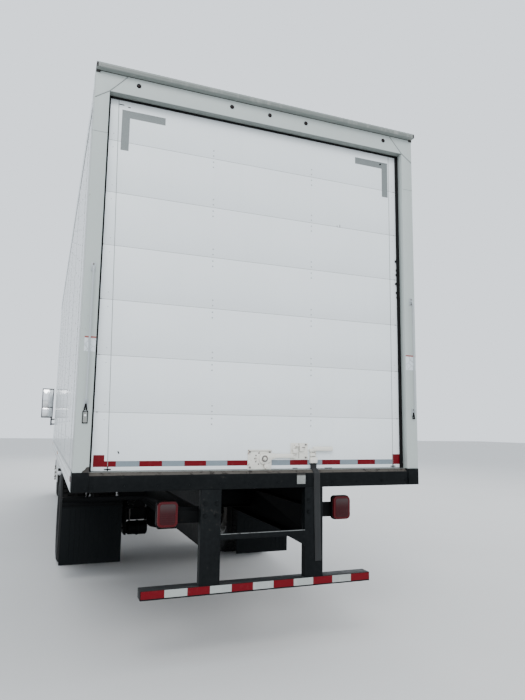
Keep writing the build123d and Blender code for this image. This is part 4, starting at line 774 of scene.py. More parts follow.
class Shape:
    """A mesh in the making, from Blender's own mesh operators."""

    flat: float = 0.012
    double: float = 2e-5

    def __init__(self) -> None:
        """Start an empty mesh whose new faces take the first finish."""
        self.mesh = bmesh.new()
        self.finish = 0

    def _dress(self, verts: Iterable[bmesh.types.BMVert]) -> None:
        """Give the faces round these corners the current finish."""
        for face in {face for vert in verts for face in vert.link_faces}:
            face.material_index = self.finish

    def soften(self, edges: Iterable[bmesh.types.BMEdge], width: float, segments: int = 2) -> None:
        """Bevel edges.

        Args:
            edges: The edges.
            width: Width of the bevel.
            segments: Faces across it.
        """
        bmesh.ops.bevel(
            self.mesh,
            geom=unique(edges),
            offset=width,
            offset_type="OFFSET",
            segments=segments,
            profile=0.5,
            affect="EDGES",
            clamp_overlap=True,
            material=-1,
        )

    def box(self, corner: Point, across: Point, width: float = 0.0, turn: Matrix | None = None) -> None:
        """Add a box.

        Args:
            corner: One of its corners.
            across: The corner furthest from that one.
            width: Width of the bevel on its edges.
            turn: A transform for it.
        """
        low, high = (Vector(tuple(map(end, corner, across))) for end in (min, max))
        verts = bmesh.ops.create_cube(self.mesh, size=1.0)["verts"]
        size = Matrix.Diagonal((*(high - low), 1.0))
        place = (turn or Matrix()) @ Matrix.Translation((low + high) / 2) @ size
        bmesh.ops.transform(self.mesh, matrix=place, verts=verts)
        self._dress(verts)
        if width:
            self.soften([edge for vert in verts for edge in vert.link_edges], width)

    def blocks(self, rows: Iterable[Sequence[float]], face: float = 0.0) -> None:
        """Add boxes that stand on one face.

        Args:
            rows: For each box, two X, two Y from the face, two Z and the width of its bevel.
            face: Y of the face.
        """
        for x0, x1, y0, y1, z0, z1, width in rows:
            self.box((x0, face + y0, z0), (x1, face + y1, z1), width)

    def rod(self, start: Point, end: Point, radius: float, sides: int = 12, tip: float | None = None) -> None:
        """Add a round bar between two points.

        Args:
            start: Middle of its first end.
            end: Middle of its last end.
            radius: Its radius.
            sides: Faces round it.
            tip: The last end's radius, where it differs.
        """
        start, end = Vector(start), Vector(end)
        run = end - start
        verts = bmesh.ops.create_cone(
            self.mesh,
            cap_ends=True,
            cap_tris=False,
            segments=sides,
            radius1=radius,
            radius2=radius if tip is None else tip,
            depth=run.length,
        )["verts"]
        turn = run.to_track_quat("Z", "Y").to_matrix().to_4x4()
        bmesh.ops.transform(self.mesh, matrix=Matrix.Translation((start + end) / 2) @ turn, verts=verts)
        self._dress(verts)

    def stud(
        self, x: float, z: float, ends: Pair, radius: float, sides: int = 6, tip: float | None = None
    ) -> None:
        """Add a round bar along Y.

        Args:
            x: X of its middle line.
            z: Z of its middle line.
            ends: Y of its first and its last end.
            radius: Its radius.
            sides: Faces round it.
            tip: The last end's radius, where it differs.
        """
        self.rod((x, ends[0], z), (x, ends[1], z), radius, sides, tip)

    def lathe(
        self, profile: Sequence[Pair], origin: Point, axis: Point, steps: int = 64, closed: bool = True
    ) -> None:
        """Spin a profile round an axis.

        Args:
            profile: Points of (radius, distance along the axis).
            origin: Where the axis starts.
            axis: Its direction.
            steps: Faces round it.
            closed: Whether the profile ends where it starts.
        """
        origin, axis = Vector(origin), Vector(axis).normalized()
        side = axis.orthogonal().normalized()
        verts = [self.mesh.verts.new(origin + side * radius + axis * along) for radius, along in profile]
        pairs = list(zip(verts, verts[1:] + verts[:1] if closed else verts[1:]))
        edges = [self.mesh.edges.new(pair) for pair in pairs]
        before = set(self.mesh.faces)
        bmesh.ops.spin(
            self.mesh, geom=verts + edges, cent=origin, axis=axis, angle=math.tau, steps=steps, use_merge=True
        )
        faces = [face for face in self.mesh.faces if face not in before]
        corners = unique(vert for face in faces for vert in face.verts)
        bmesh.ops.remove_doubles(self.mesh, verts=corners, dist=1e-5)
        for face in self.mesh.faces:
            if face not in before:
                face.material_index = self.finish

    def repeat_round(self, start: int, count: int, origin: Point, axis: Point) -> None:
        """Copy the faces made since a count, evenly round an axis.

        Args:
            start: How many faces there were before the first copy was made.
            count: How many copies there are in all.
            origin: A point on the axis.
            axis: Its direction.
        """
        self.mesh.faces.ensure_lookup_table()
        faces = self.mesh.faces[start:]
        geometry = unique(item for face in faces for item in (*face.verts, *face.edges)) + list(faces)
        bmesh.ops.spin(
            self.mesh,
            geom=geometry,
            cent=Vector(origin),
            axis=Vector(axis),
            angle=math.tau * (count - 1) / count,
            steps=count - 1,
            use_duplicate=True,
        )

    def bent(self, points: Sequence[Point], radius: float, sides: int = 3) -> None:
        """Add a round bar that bends smoothly past its points.

        Args:
            points: The points that shape it.
            radius: Its radius.
            sides: Roundness of its section.
        """
        curve = bpy.data.curves.new("bend", "CURVE")
        curve.dimensions = "3D"
        spline = curve.splines.new("NURBS")
        spline.points.add(len(points) - 1)
        for knot, point in zip(spline.points, points):
            knot.co = (*point, 1.0)
        spline.order_u = 3
        spline.use_endpoint_u = True
        curve.bevel_depth = radius
        curve.bevel_resolution = sides
        curve.use_fill_caps = True
        bar = bpy.data.objects.new("bend", curve)
        mesh = bpy.data.meshes.new_from_object(bar)
        start = len(self.mesh.faces)
        self.mesh.from_mesh(mesh)
        self.mesh.faces.ensure_lookup_table()
        for face in self.mesh.faces[start:]:
            face.material_index = self.finish
        bpy.data.objects.remove(bar)
        bpy.data.curves.remove(curve)
        bpy.data.meshes.remove(mesh)

    def plate(self, outline: Sequence[Point], depth: Point, width: float = 0.0) -> None:
        """Add a flat plate.

        Args:
            outline: Corners of one face, in order.
            depth: The way to its other face.
            width: Width of the bevel on its edges.
        """
        verts = [self.mesh.verts.new(Vector(corner)) for corner in outline]
        face = self.mesh.faces.new(verts)
        made = bmesh.ops.extrude_face_region(self.mesh, geom=[face])["geom"]
        moved = [item for item in made if isinstance(item, bmesh.types.BMVert)]
        bmesh.ops.translate(self.mesh, vec=Vector(depth), verts=moved)
        sides = unique(face for vert in verts + moved for face in vert.link_faces)
        bmesh.ops.recalc_face_normals(self.mesh, faces=sides)
        self._dress(verts + moved)
        if width:
            self.soften([edge for vert in verts + moved for edge in vert.link_edges], width)

    def upright(self, outline: Iterable[Pair], near: float, thick: float, width: float = 0.0) -> None:
        """Add a flat plate that faces the rear.

        Args:
            outline: X and Z of its corners, in order.
            near: Y of its first face.
            thick: The way along Y to its other face.
            width: Width of the bevel on its edges.
        """
        self.plate([(x, near, z) for x, z in outline], (0, thick, 0), width)

    def node(self, name: str) -> None:
        """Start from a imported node's merged mesh, with its flat faces joined.

        Args:
            name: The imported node.
        """
        self.mesh.from_mesh(FRAME["nodes"][name].data)
        bmesh.ops.remove_doubles(self.mesh, verts=self.mesh.verts, dist=self.double)
        bmesh.ops.dissolve_limit(
            self.mesh, angle_limit=self.flat, verts=list(self.mesh.verts), edges=list(self.mesh.edges)
        )

    def rim_of(self, faces: list[bmesh.types.BMFace], width: float) -> list[bmesh.types.BMFace]:
        """Part the faces' outer rim from their middle.

        Args:
            faces: The faces.
            width: Width of the rim.

        Returns:
            The faces of the rim.
        """
        return bmesh.ops.inset_region(
            self.mesh, faces=faces, thickness=width, depth=0.0, use_boundary=True, use_even_offset=True
        )["faces"]

    def piece(
        self,
        name: str,
        finishes: Finish | Sequence[Finish],
        slot: Slot,
        body: str = "truck",
        replaces: Sequence[str] = (),
        smooth: float = 34.0,
        outward: bool = True,
    ) -> bpy.types.Object:
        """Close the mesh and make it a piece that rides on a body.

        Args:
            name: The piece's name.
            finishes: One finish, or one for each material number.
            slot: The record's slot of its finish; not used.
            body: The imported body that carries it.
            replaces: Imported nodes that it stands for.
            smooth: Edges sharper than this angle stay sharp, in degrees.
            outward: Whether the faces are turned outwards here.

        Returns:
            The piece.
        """
        if outward:
            bmesh.ops.recalc_face_normals(self.mesh, faces=self.mesh.faces)
        data = bpy.data.meshes.new(name)
        self.mesh.to_mesh(data)
        self.mesh.free()
        for finish in [finishes] if isinstance(finishes, Finish) else finishes:
            data.materials.append(material(finish))
        data.shade_smooth()
        data.set_sharp_from_angle(angle=math.radians(smooth))
        made = bpy.data.objects.new(name, data)
        bpy.context.scene.collection.objects.link(made)
        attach(made, body)
        if replaces:
            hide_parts(*replaces)
        log.info("%s rides on %s", name, body)
        return made


def inward(span: float) -> float:
    """X of a place that far in from the body's left edge."""
    return HALF_BODY - span


def spaced(start: float, step: float, count: int) -> list[float]:
    """Evenly spaced places on a line."""
    return [start + index * step for index in range(count)]


def rounded_corners(x: Pair, z: Pair, radius: float, count: int) -> list[Pair]:
    """Outline of a rectangle with round corners.

    Args:
        x: Its sides.
        z: Its bottom and its top.
        radius: Radius of its corners.
        count: Points on each corner.

    Returns:
        X and Z of the outline's points, in order.
    """
    right, left = x[1] - radius, x[0] + radius
    top, foot = z[1] - radius, z[0] + radius
    middles = ((right, top, 0), (left, top, 90), (left, foot, 180), (right, foot, 270))
    return [
        (cx + radius * math.cos(math.radians(turn)), cz + radius * math.sin(math.radians(turn)))
        for cx, cz, start in middles
        for turn in spaced(start, 90 / (count - 1), count)
    ]


def repeated(piece: bpy.types.Object, rows: Sequence[tuple[int, Point]]) -> None:
    """Repeat a piece in rows.

    Args:
        piece: The piece.
        rows: How many there are and the step between them, for each direction.
    """
    for count, step in rows:
        row = piece.modifiers.new("row", "ARRAY")
        row.count = count
        row.use_relative_offset = False
        row.use_constant_offset = True
        row.constant_offset_displace = step


def thickened(piece: bpy.types.Object, thickness: float, offset: float) -> None:
    """Give a sheet its thickness.

    Args:
        piece: The sheet.
        thickness: Its thickness.
        offset: Where the sheet lies in it: zero for the middle, one for the inside.
    """
    wall = piece.modifiers.new("wall", "SOLIDIFY")
    wall.thickness = thickness
    wall.offset = offset


def rounded(piece: bpy.types.Object) -> None:
    """Round a piece with one subdivision."""
    smooth = piece.modifiers.new("round", "SUBSURF")
    smooth.levels = smooth.render_levels = 1


def coat(finish: Finish, *nodes: str) -> None:
    """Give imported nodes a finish.

    Args:
        finish: The finish.
        *nodes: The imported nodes.
    """
    for name in nodes:
        data = FRAME["nodes"][name].data
        data.materials.clear()
        data.materials.append(material(finish))


def softened(
    node: str,
    finish: Finish | Sequence[Finish],
    slot: Slot,
    width: float,
    body: str = "truck",
    shortest: float = 0.0,
    sharper: float = 25.0,
    segments: int = 2,
    second: Callable[[bmesh.types.BMFace], bool] | None = None,
) -> None:
    """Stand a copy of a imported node, with its edges rounded, in its place.

    Args:
        node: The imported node.
        finish: Its finish, or its two finishes.
        slot: The record's slot of its finish.
        width: Width of the rounding.
        body: The body that carries it.
        shortest: Edges shorter than this keep their corner.
        sharper: Edges flatter than this angle keep their shape, in degrees.
        segments: Faces across the rounding.
        second: Tells which faces take the second finish.
    """
    shape = Shape()
    shape.node(node)
    if second:
        for face in shape.mesh.faces:
            face.material_index = int(second(face))
    edges = [
        edge
        for edge in shape.mesh.edges
        if len(edge.link_faces) == 2
        and edge.calc_length() > shortest
        and edge.calc_face_angle(0.0) > math.radians(sharper)
    ]
    shape.soften(edges, width, segments)
    shape.piece(f"{node}_finished", finish, slot, body, [node], outward=False)


@dataclass
class Viewpoint:
    """The camera, as the photograph was taken."""

    place: Point = (1.4805, 9.154, 1.55)
    turn: float = 20.80
    up: float = 7.797
    roll: float = 0.853
    focal: float = 567.24
    frame: tuple[int, int] = (525, 700)
    sensor: float = 36.0

    def make(self) -> None:
        """Create the camera and make it the scene's own."""
        turn, up, roll = (math.radians(angle) for angle in (self.turn, self.up, self.roll))
        ahead = Vector((-math.sin(turn) * math.cos(up), -math.cos(turn) * math.cos(up), math.sin(up)))
        level = Vector((-math.cos(turn), math.sin(turn), 0.0))
        over = level.cross(ahead)
        right = level * math.cos(roll) + over * math.sin(roll)
        above = over * math.cos(roll) - level * math.sin(roll)
        data = bpy.data.cameras.new("viewpoint")
        data.sensor_width = self.sensor
        data.lens = self.focal * self.sensor / max(self.frame)
        camera = bpy.data.objects.new("viewpoint", data)
        turned = Matrix((right, above, -ahead)).transposed().to_4x4()
        camera.matrix_world = Matrix.Translation(Vector(self.place)) @ turned
        bpy.context.scene.collection.objects.link(camera)
        bpy.context.scene.camera = camera


@dataclass
class Studio:
    """A pale floor and soft light from a bright overcast sky."""

    floor_half: float = 60.0
    floor_colour: Colour = (0.58, 0.58, 0.57)
    sky: Colour = (0.82, 0.88, 0.95)
    sky_strength: float = 1.62
    lamps: Sequence[tuple[str, Point, Point, float, float]] = (
        ("key", (5.0, 17.0, 13.0), (0.0, 4.0, 2.0), 10.0, 1900.0),
        ("fill", (-11.0, 3.0, 9.0), (0.0, 0.0, 1.5), 8.0, 600.0),
        ("front", (-5.0, -15.0, 9.0), (0.0, -4.0, 1.5), 8.0, 900.0),
    )

    def make(self) -> None:
        """Create the floor, the sky and the lamps."""
        r = Recipe("pale_floor")
        grit = r.noise(120, 3)
        tone = r.mix(r.noise(0.6, 4) * 0.5 + grit * 0.2, self.floor_colour, scaled(self.floor_colour, 0.86))
        surface = r.finish({"Base Color": tone, "Roughness": 0.85, "Normal": r.bump(grit, 0.0015, 0.4)})
        mesh = bmesh.new()
        bmesh.ops.create_grid(mesh, x_segments=1, y_segments=1, size=self.floor_half)
        data = bpy.data.meshes.new("floor")
        mesh.to_mesh(data)
        mesh.free()
        data.materials.append(surface)
        floor = bpy.data.objects.new("floor", data)
        bpy.context.scene.collection.objects.link(floor)
        world = bpy.data.worlds.new("sky")
        world.use_nodes = True
        shine = world.node_tree.nodes["Background"]
        shine.inputs["Color"].default_value = (*self.sky, 1.0)
        shine.inputs["Strength"].default_value = self.sky_strength
        bpy.context.scene.world = world
        for lamp in self.lamps:
            self.make_lamp(*lamp)

    def make_lamp(self, name: str, place: Point, target: Point, size: float, power: float) -> None:
        """Create one soft lamp.

        Args:
            name: Its name.
            place: Where it hangs.
            target: What it faces.
            size: Its width.
            power: Its power in watts.
        """
        data = bpy.data.lights.new(name, "AREA")
        data.shape = "DISK"
        data.size = size
        data.energy = power
        lamp = bpy.data.objects.new(name, data)
        aim = (Vector(target) - Vector(place)).to_track_quat("-Z", "Y").to_matrix().to_4x4()
        lamp.matrix_world = Matrix.Translation(Vector(place)) @ aim
        bpy.context.scene.collection.objects.link(lamp)


@dataclass
class PullStrap:
    """Black webbing from the latch, over the sill and down in front of the right riser."""

    middle: float = -0.4085
    width: float = 0.050
    thickness: float = 0.003
    cup: float = 0.0012
    foot: float = 0.610
    step: float = 0.011
    lanes: Sequence[Pair] = ((-1.0, 1.0), (-0.5, 0.3), (0.0, 0.0), (0.5, 0.3), (1.0, 1.0))

    def route(self) -> list[Vector]:
        """Middle line of the webbing, from its knot at the latch to its free end.

        Returns:
            Points about a step apart.
        """
        lying = SILL_TOP + self.thickness
        knots = [
            Vector((self.middle + aside, y, z))
            for aside, y, z in (
                (-0.002, DOOR_FACE + 0.008, 1.319),
                (-0.001, DOOR_FACE + 0.009, 1.262),
                (0.0, DOOR_FACE + 0.016, lying),
                (0.0, REAR_FACE - SILL_SLOPE + 0.001, lying),
                (0.001, REAR_FACE + self.thickness, SILL_TOP - SILL_FALL + 0.001),
                (0.001, REAR_FACE + self.thickness, 1.14),
                (-0.002, REAR_FACE + 0.004, 0.95),
                (-0.006, REAR_FACE + 0.005, 0.78),
                (-0.010, REAR_FACE + 0.004, self.foot),
            )
        ]
        points = [knots[0]]
        for start, end in zip(knots, knots[1:]):
            count = max(1, round((end - start).length / self.step))
            points += [start.lerp(end, (index + 1) / count) for index in range(count)]
        return points

    def make(self) -> None:
        points = self.route()
        length = sum((b - a).length for a, b in zip(points, points[1:]))
        shape = Shape()
        across, along = len(self.lanes) - 1, len(points) - 1
        grid = bmesh.ops.create_grid(shape.mesh, x_segments=across, y_segments=along, size=1.0)["verts"]
        for index, vert in enumerate(grid):
            row, lane = divmod(index, across + 1)
            share, lift = self.lanes[lane]
            cup = self.cup * (1 + math.sin(row * 0.4)) / 2
            vert.co = points[row] + Vector((share * self.width / 2, lift * cup, 0.0))
        bmesh.ops.recalc_face_normals(shape.mesh, faces=shape.mesh.faces)
        strap = shape.piece("strap", STRAP_WEB, Slot.WEBBING, replaces=["pull_strap"], outward=False)
        thickened(strap, self.thickness, 0.0)


@dataclass
class RollupDoor:
    """Skins, joints, rivets, tape and seals of the sectional rear door."""

    joints: Sequence[float] = (1.636, 2.016, 2.396, 2.776, 3.156, 3.536)
    top: float = 3.86
    foot: float = 1.262
    proud: float = 0.0006
    sunk: float = 0.0002
    tape: Pair = (1.2812, 1.3185)
    tape_ends: Pair = (0.127, 2.399)
    end_blocks: Pair = (0.070, 1.358)
    reds: Sequence[Pair] = (
        (0.127, 0.272), (0.425, 0.577), (0.731, 0.884), (1.037, 1.189),
        (1.519, 1.661), (1.782, 1.934), (2.086, 2.240),
    )
    corner_marks: Sequence[tuple[float, int, float]] = ((0.198, -1, 3.777), (2.394, 1, 3.782))
    mark_arm: float = 0.310
    mark_leg: float = 0.303
    mark_width: float = 0.056
    seams: Sequence[tuple[Pair, int]] = (((1.075, 1.124), 1), ((-1.108, -1.109), -1))
    hinge_rivets: Sequence[Pair] = ((0.372, 0.425), (-0.392, -0.392))
    hinge_lifts: Sequence[float] = (-0.067, -0.027, 0.022, 0.062)
    strip_lifts: Sequence[float] = (-0.05, 0.05)
    seal_head: float = 3.842
    jamb: float = 1.1955
    scuffs: Sequence[tuple[float, ...]] = (
        (0.285, 1.374, 0.004, 0.009, 0.5), (1.560, 1.2592, 0.020, 0.002, 0.0),
        (1.834, 1.2585, 0.032, 0.002, 0.0),
        (1.940, 3.165, 0.002, 0.012, 0.0), (1.915, 3.160, 0.0015, 0.007, 0.0),
        (2.325, 3.762, 0.010, 0.006, 0.6),
        (0.190, 3.812, 0.020, 0.003, 0.0), (0.245, 3.802, 0.010, 0.003, 0.0),
    )

    def at(self, line: Pair, z: float) -> float:
        """X of a nearly upright line at a height.

        Args:
            line: Its X at the foot and at the top of the door.
            z: The height.

        Returns:
            Its X there.
        """
        return line[0] + (line[1] - line[0]) * (z - SILL_TOP) / (self.top - SILL_TOP)

    def make_rivets(self) -> None:
        """Rivets of the inner hinges and of the end strips, four round each joint."""
        shape = Shape()
        fields = [(line, 0.0, self.hinge_lifts, 0.0018, 0.0062, 0.003) for line in self.hinge_rivets]
        fields += [(line, way * 0.03, self.strip_lifts, 0.0014, 0.0035, 0.002) for line, way in self.seams]
        for joint in self.joints:
            for line, aside, lifts, high, radius, tip in fields:
                for lift in lifts:
                    ends = (DOOR_FACE - self.sunk, DOOR_FACE + high)
                    shape.stud(self.at(line, joint) + aside, joint + lift, ends, radius, 8, tip)
        # The rivets' grey is part dirt and part painted shade.
        shape.piece("door_rivets", RIVET_GREY_AND_SHADE, Slot.BODY)

    def make_joints(self) -> None:
        """Painted shade: dark strips in the grooves of the joints. Also dark sealant lines along the skin's
        end strips.
        """
        lines = Shape()
        left, right = (line for line, _ in self.seams)
        for joint in self.joints:
            # A dark strip inside the joint's groove is painted shade.
            rows = [(-1.22, 1.22, -0.004, -0.001, joint - 0.0014, joint + 0.0014, 0)]
            for x in (self.at(left, joint) + 0.078, self.at(right, joint) - 0.045):
                rows.append((x - 0.006, x + 0.006, -0.002, 0.001, joint - 0.003, joint + 0.003, 0))
            lines.blocks(rows, DOOR_FACE)
        half = 0.002
        for line in (left, right):
            low, high = self.at(line, self.foot), self.at(line, self.top)
            outline = (
                (low - half, self.foot), (low + half, self.foot),
                (high + half, self.top), (high - half, self.top),
            )
            lines.upright(outline, DOOR_FACE - self.sunk, 0.0008)
        lines.piece("door_seams", SEAM_AND_SHADE_GREY, Slot.RUBBER)

    def make_tape(self) -> None:
        """The tape along the bottom, its end blocks and the two corner marks."""
        shape = Shape()
        low, high = self.tape
        cursor, end = first, last = self.tape_ends
        for start, stop in [*self.reds, (end, end)]:
            if start > cursor + 0.01:
                shape.finish = 1
                shape.blocks([(inward(start), inward(cursor), 0, self.proud, low, high, 0)], DOOR_FACE)
            if stop > start:
                shape.finish = 0
                shape.blocks([(inward(stop), inward(start), 0, self.proud, low, high, 0)], DOOR_FACE)
            cursor = stop
        shape.finish = 0
        width, head = self.end_blocks
        for start, foot in ((first, high), (last, low)):
            shape.blocks([(inward(start + width), inward(start), 0, self.proud, foot, head, 0)], DOOR_FACE)
        shape.finish = 2
        for span, way, head in self.corner_marks:
            corner = inward(span)
            arm, leg = corner + way * self.mark_arm, head - self.mark_leg
            inside, under = corner + way * self.mark_width, head - self.mark_width
            outline = (
                (corner, head), (arm, head), (arm, under), (inside, under), (inside, leg), (corner, leg),
            )
            shape.upright(outline, DOOR_FACE, self.proud)
        shape.piece("door_tape", [RED_TAPE, PALE_TAPE, CORNER_TAPE], Slot.RED)

    def make_seals(self) -> None:
        """The seal under the bottom panel, its clips, and the seals round the opening."""
        shape = Shape()
        shape.blocks([(-1.185, 1.185, -0.012, 0.003, SILL_TOP + 0.0005, SILL_TOP + 0.006, 0.002)], DOOR_FACE)
        shape.piece("door_bottom_seal", GREY_SEAL, Slot.RUBBER)
        clips = Shape()
        for line, _ in self.seams:
            x = self.at(line, 1.27)
            rows = [(x - 0.022, x + 0.022, 0, 0.004, 1.262, 1.269, 0.001)]
            rows += [(x - 0.003, x + 0.003, 0, 0.005, 1.256, 1.284, 0.001)]
            clips.blocks(rows, DOOR_FACE)
        clips.piece("door_clips", BLACK, Slot.BLACK)
        seals = Shape()
        jamb, head, back = self.jamb, self.seal_head, 0.0005
        rows = [
            (-jamb, jamb, back, 0.014, head, HEADER_BOTTOM, 0.004),
            (jamb - 0.016, jamb, back, 0.006, SILL_TOP, head, 0.002),
            (-jamb, -jamb + 0.027, back, 0.012, SILL_TOP, head, 0.003),
        ]
        for index, z in enumerate(spaced(2.62, 0.038, 9)):
            torn = 0.030 + 0.010 * math.sin(index * 2.6)
            rows.append((-jamb + 0.02, -jamb + torn, back, 0.013, z, z + 0.017, 0.002))
        seals.blocks(rows, DOOR_FACE)
        seals.piece("opening_seals", SEAL, Slot.RUBBER)

    def make_scuffs(self) -> None:
        """Small dark scuffs on the panels."""
        shape = Shape()
        for span, z, wide, high, turn in self.scuffs:
            place = Matrix.Translation((inward(span), 0, z)) @ Matrix.Rotation(turn, 4, "Y")
            shape.box((-wide, DOOR_FACE, -high), (wide, DOOR_FACE + 0.0009, high), 0.0, place)
        shape.piece("door_scuffs", SEAL, Slot.RUBBER)

    def make(self) -> None:
        """Dress the door."""
        softened("rollup_door", DOOR_SKIN, Slot.BODY, 0.0008, segments=1)
        self.make_rivets()
        self.make_joints()
        self.make_tape()
        self.make_seals()
        self.make_scuffs()


@dataclass
class Latch:
    """The bottom panel's latch: plate, lever on its pivot, keeper with its claw, slide handle and striker.

    Rows of blocks hold two spans in from the body's left edge, two heights off the door, two Z and a bevel.
    """

    plate: float = 0.005
    pivot: Pair = (inward(1.314), 1.329)
    base: Sequence[Sequence[float]] = (
        (1.372, 1.188, 0.0, 0.005, SILL_TOP + 0.003, 1.393, 0.003),
        (1.372, 1.188, 0.005, 0.012, 1.384, 1.393, 0.003),
    )
    base_bolts: Sequence[Pair] = ((1.202, 1.378), (1.204, 1.268), (1.356, 1.374), (1.342, 1.266))
    arm: Sequence[Pair] = (
        (-0.044, -0.020), (-0.058, -0.006), (-0.075, 0.002), (-0.100, 0.005), (-0.236, 0.004),
        (-0.240, 0.012),
        (-0.240, 0.030), (-0.232, 0.036), (-0.110, 0.035), (-0.030, 0.040),
    )
    lobe: float = 0.041
    tab: Sequence[Pair] = (
        (1.316, 1.295), (1.342, 1.299), (1.350, 1.268), (1.344, SILL_TOP + 0.004), (1.320, SILL_TOP + 0.004),
        (1.310, 1.272),
    )
    claw: Sequence[Pair] = (
        (1.527, 1.392), (1.537, 1.424), (1.561, 1.434), (1.585, 1.424), (1.581, 1.412), (1.561, 1.418),
        (1.549, 1.408), (1.547, 1.392),
    )
    keeper: Sequence[Sequence[float]] = (
        (1.661, 1.521, 0.0, 0.005, 1.321, 1.442, 0.004),
        (1.567, 1.533, 0.005, 0.029, 1.366, 1.398, 0.005),
        (1.625, 1.591, 0.005, 0.017, 1.380, 1.424, 0.004),
        (1.734, 1.673, 0.0, 0.025, 1.2945, 1.338, 0.006),
        (1.725, 1.679, 0.0, 0.015, 1.335, 1.400, 0.004),
        (1.715, 1.673, 0.005, 0.027, 1.346, 1.362, 0.003),
        (1.707, 1.669, 0.0, 0.025, 1.378, 1.398, 0.004),
        (1.861, 1.696, 0.011, 0.031, 1.383, 1.417, 0.009),
        (1.855, 1.835, 0.0, 0.013, 1.390, 1.410, 0.002),
        (1.735, 1.715, 0.0, 0.013, 1.390, 1.410, 0.002),
    )
    keeper_steel: Sequence[Sequence[float]] = (
        (1.589, 1.586, 0.005, 0.007, 1.330, 1.440, 0),
        (1.633, 1.607, 0.005, 0.021, 1.408, 1.412, 0),
        (1.717, 1.691, 0.014, 0.0165, 1.342, 1.346, 0),
        (1.717, 1.691, 0.014, 0.0165, 1.372, 1.376, 0),
    )
    keeper_bolts: Sequence[Pair] = ((1.537, 1.338), (1.643, 1.430), (1.643, 1.336))
    striker: Pair = (1.611, 1.544)

    def add_blocks(self, shape: Shape, rows: Sequence[Sequence[float]]) -> None:
        """Add a list of blocks that stand on the door."""
        shape.blocks([(inward(far), inward(near), *rest) for far, near, *rest in rows], DOOR_FACE)

    def add_bolts(self, shape: Shape, places: Sequence[Pair], radius: float) -> None:
        """Add hexagon bolt heads on the base plates.

        Args:
            shape: The mesh.
            places: How far in from the left edge, and how high, each one is.
            radius: Their radius.
        """
        top = DOOR_FACE + self.plate
        for span, z in places:
            shape.stud(inward(span), z, (top, top + 0.006), radius)

    def make_plate(self, shape: Shape) -> None:
        """Add the base plate, its slot holes, drawn as dark discs of painted shade, and bolts.

        Args:
            shape: The mesh.
        """
        self.add_blocks(shape, self.base)
        shape.finish = 1
        top = DOOR_FACE + self.plate
        # Each slot hole is a dark steel disc: painted shade in the hole.
        for angle in map(math.radians, spaced(125, 27, 5)):
            x, z = self.pivot[0] - 0.072 * math.cos(angle), self.pivot[1] + 0.048 * math.sin(angle)
            shape.stud(x, z, (top - 0.002, top + 0.0008), 0.0058, 12)
        self.add_bolts(shape, self.base_bolts, 0.008)
        shape.finish = 0

    def make_lever(self, shape: Shape) -> None:
        """Add the lobed lever, its lock tab and its pivot bolt.

        Args:
            shape: The mesh.
        """
        near, thick = DOOR_FACE + self.plate + 0.001, 0.012
        far = near + thick
        x0, z0 = self.pivot
        turns = map(math.radians, range(50, -131, -15))
        outline = [(x0 + self.lobe * math.cos(turn), z0 + self.lobe * math.sin(turn)) for turn in turns]
        outline += [(x0 + x, z0 + z) for x, z in self.arm]
        shape.upright(outline, near, thick, 0.003)
        shape.upright([(inward(span), z) for span, z in self.tab], near - 0.001, 0.010, 0.002)
        shape.finish = 1
        washer = ((0.014, 0.0), (0.024, 0.0), (0.024, 0.002), (0.023, 0.003), (0.014, 0.003))
        shape.lathe(washer, (x0, far, z0), (0, 1, 0), 28)
        shape.finish = 0
        shape.stud(x0, z0, (far, far + 0.007), 0.013)
        shape.stud(x0, z0, (far, far + 0.010), 0.007, 12)

    def make_keeper(self, shape: Shape) -> None:
        """Add the keeper's plate, its hooked claw, the post that holds the strap, and the handle.

        Args:
            shape: The mesh.
        """
        self.add_blocks(shape, self.keeper)
        claw = [(inward(span), z) for span, z in self.claw]
        shape.upright(claw, DOOR_FACE + self.plate + 0.002, 0.014, 0.002)
        shape.finish = 1
        self.add_blocks(shape, self.keeper_steel)
        self.add_bolts(shape, self.keeper_bolts, 0.007)
        shape.finish = 0

    def make(self) -> None:
        """Build the latch and its striker on the sill."""
        shape = Shape()
        self.make_plate(shape)
        self.make_lever(shape)
        self.make_keeper(shape)
        shape.piece("latch", [LATCH_WHITE, NUT_STEEL], Slot.LATCH, replaces=["door_latch"])
        striker = Shape()
        ends = [inward(span) for span in self.striker]
        striker.blocks([(*ends, 0, 0.004, 1.152, 1.212, 0.001)], REAR_FACE)
        striker.finish = 1
        striker.blocks([(*ends, -0.001, 0.004, 1.212, SILL_TOP - SILL_FALL + 0.001, 0.001)], REAR_FACE)
        striker.piece("striker_plate", [STRIKER_GREY, IRON], Slot.LATCH)


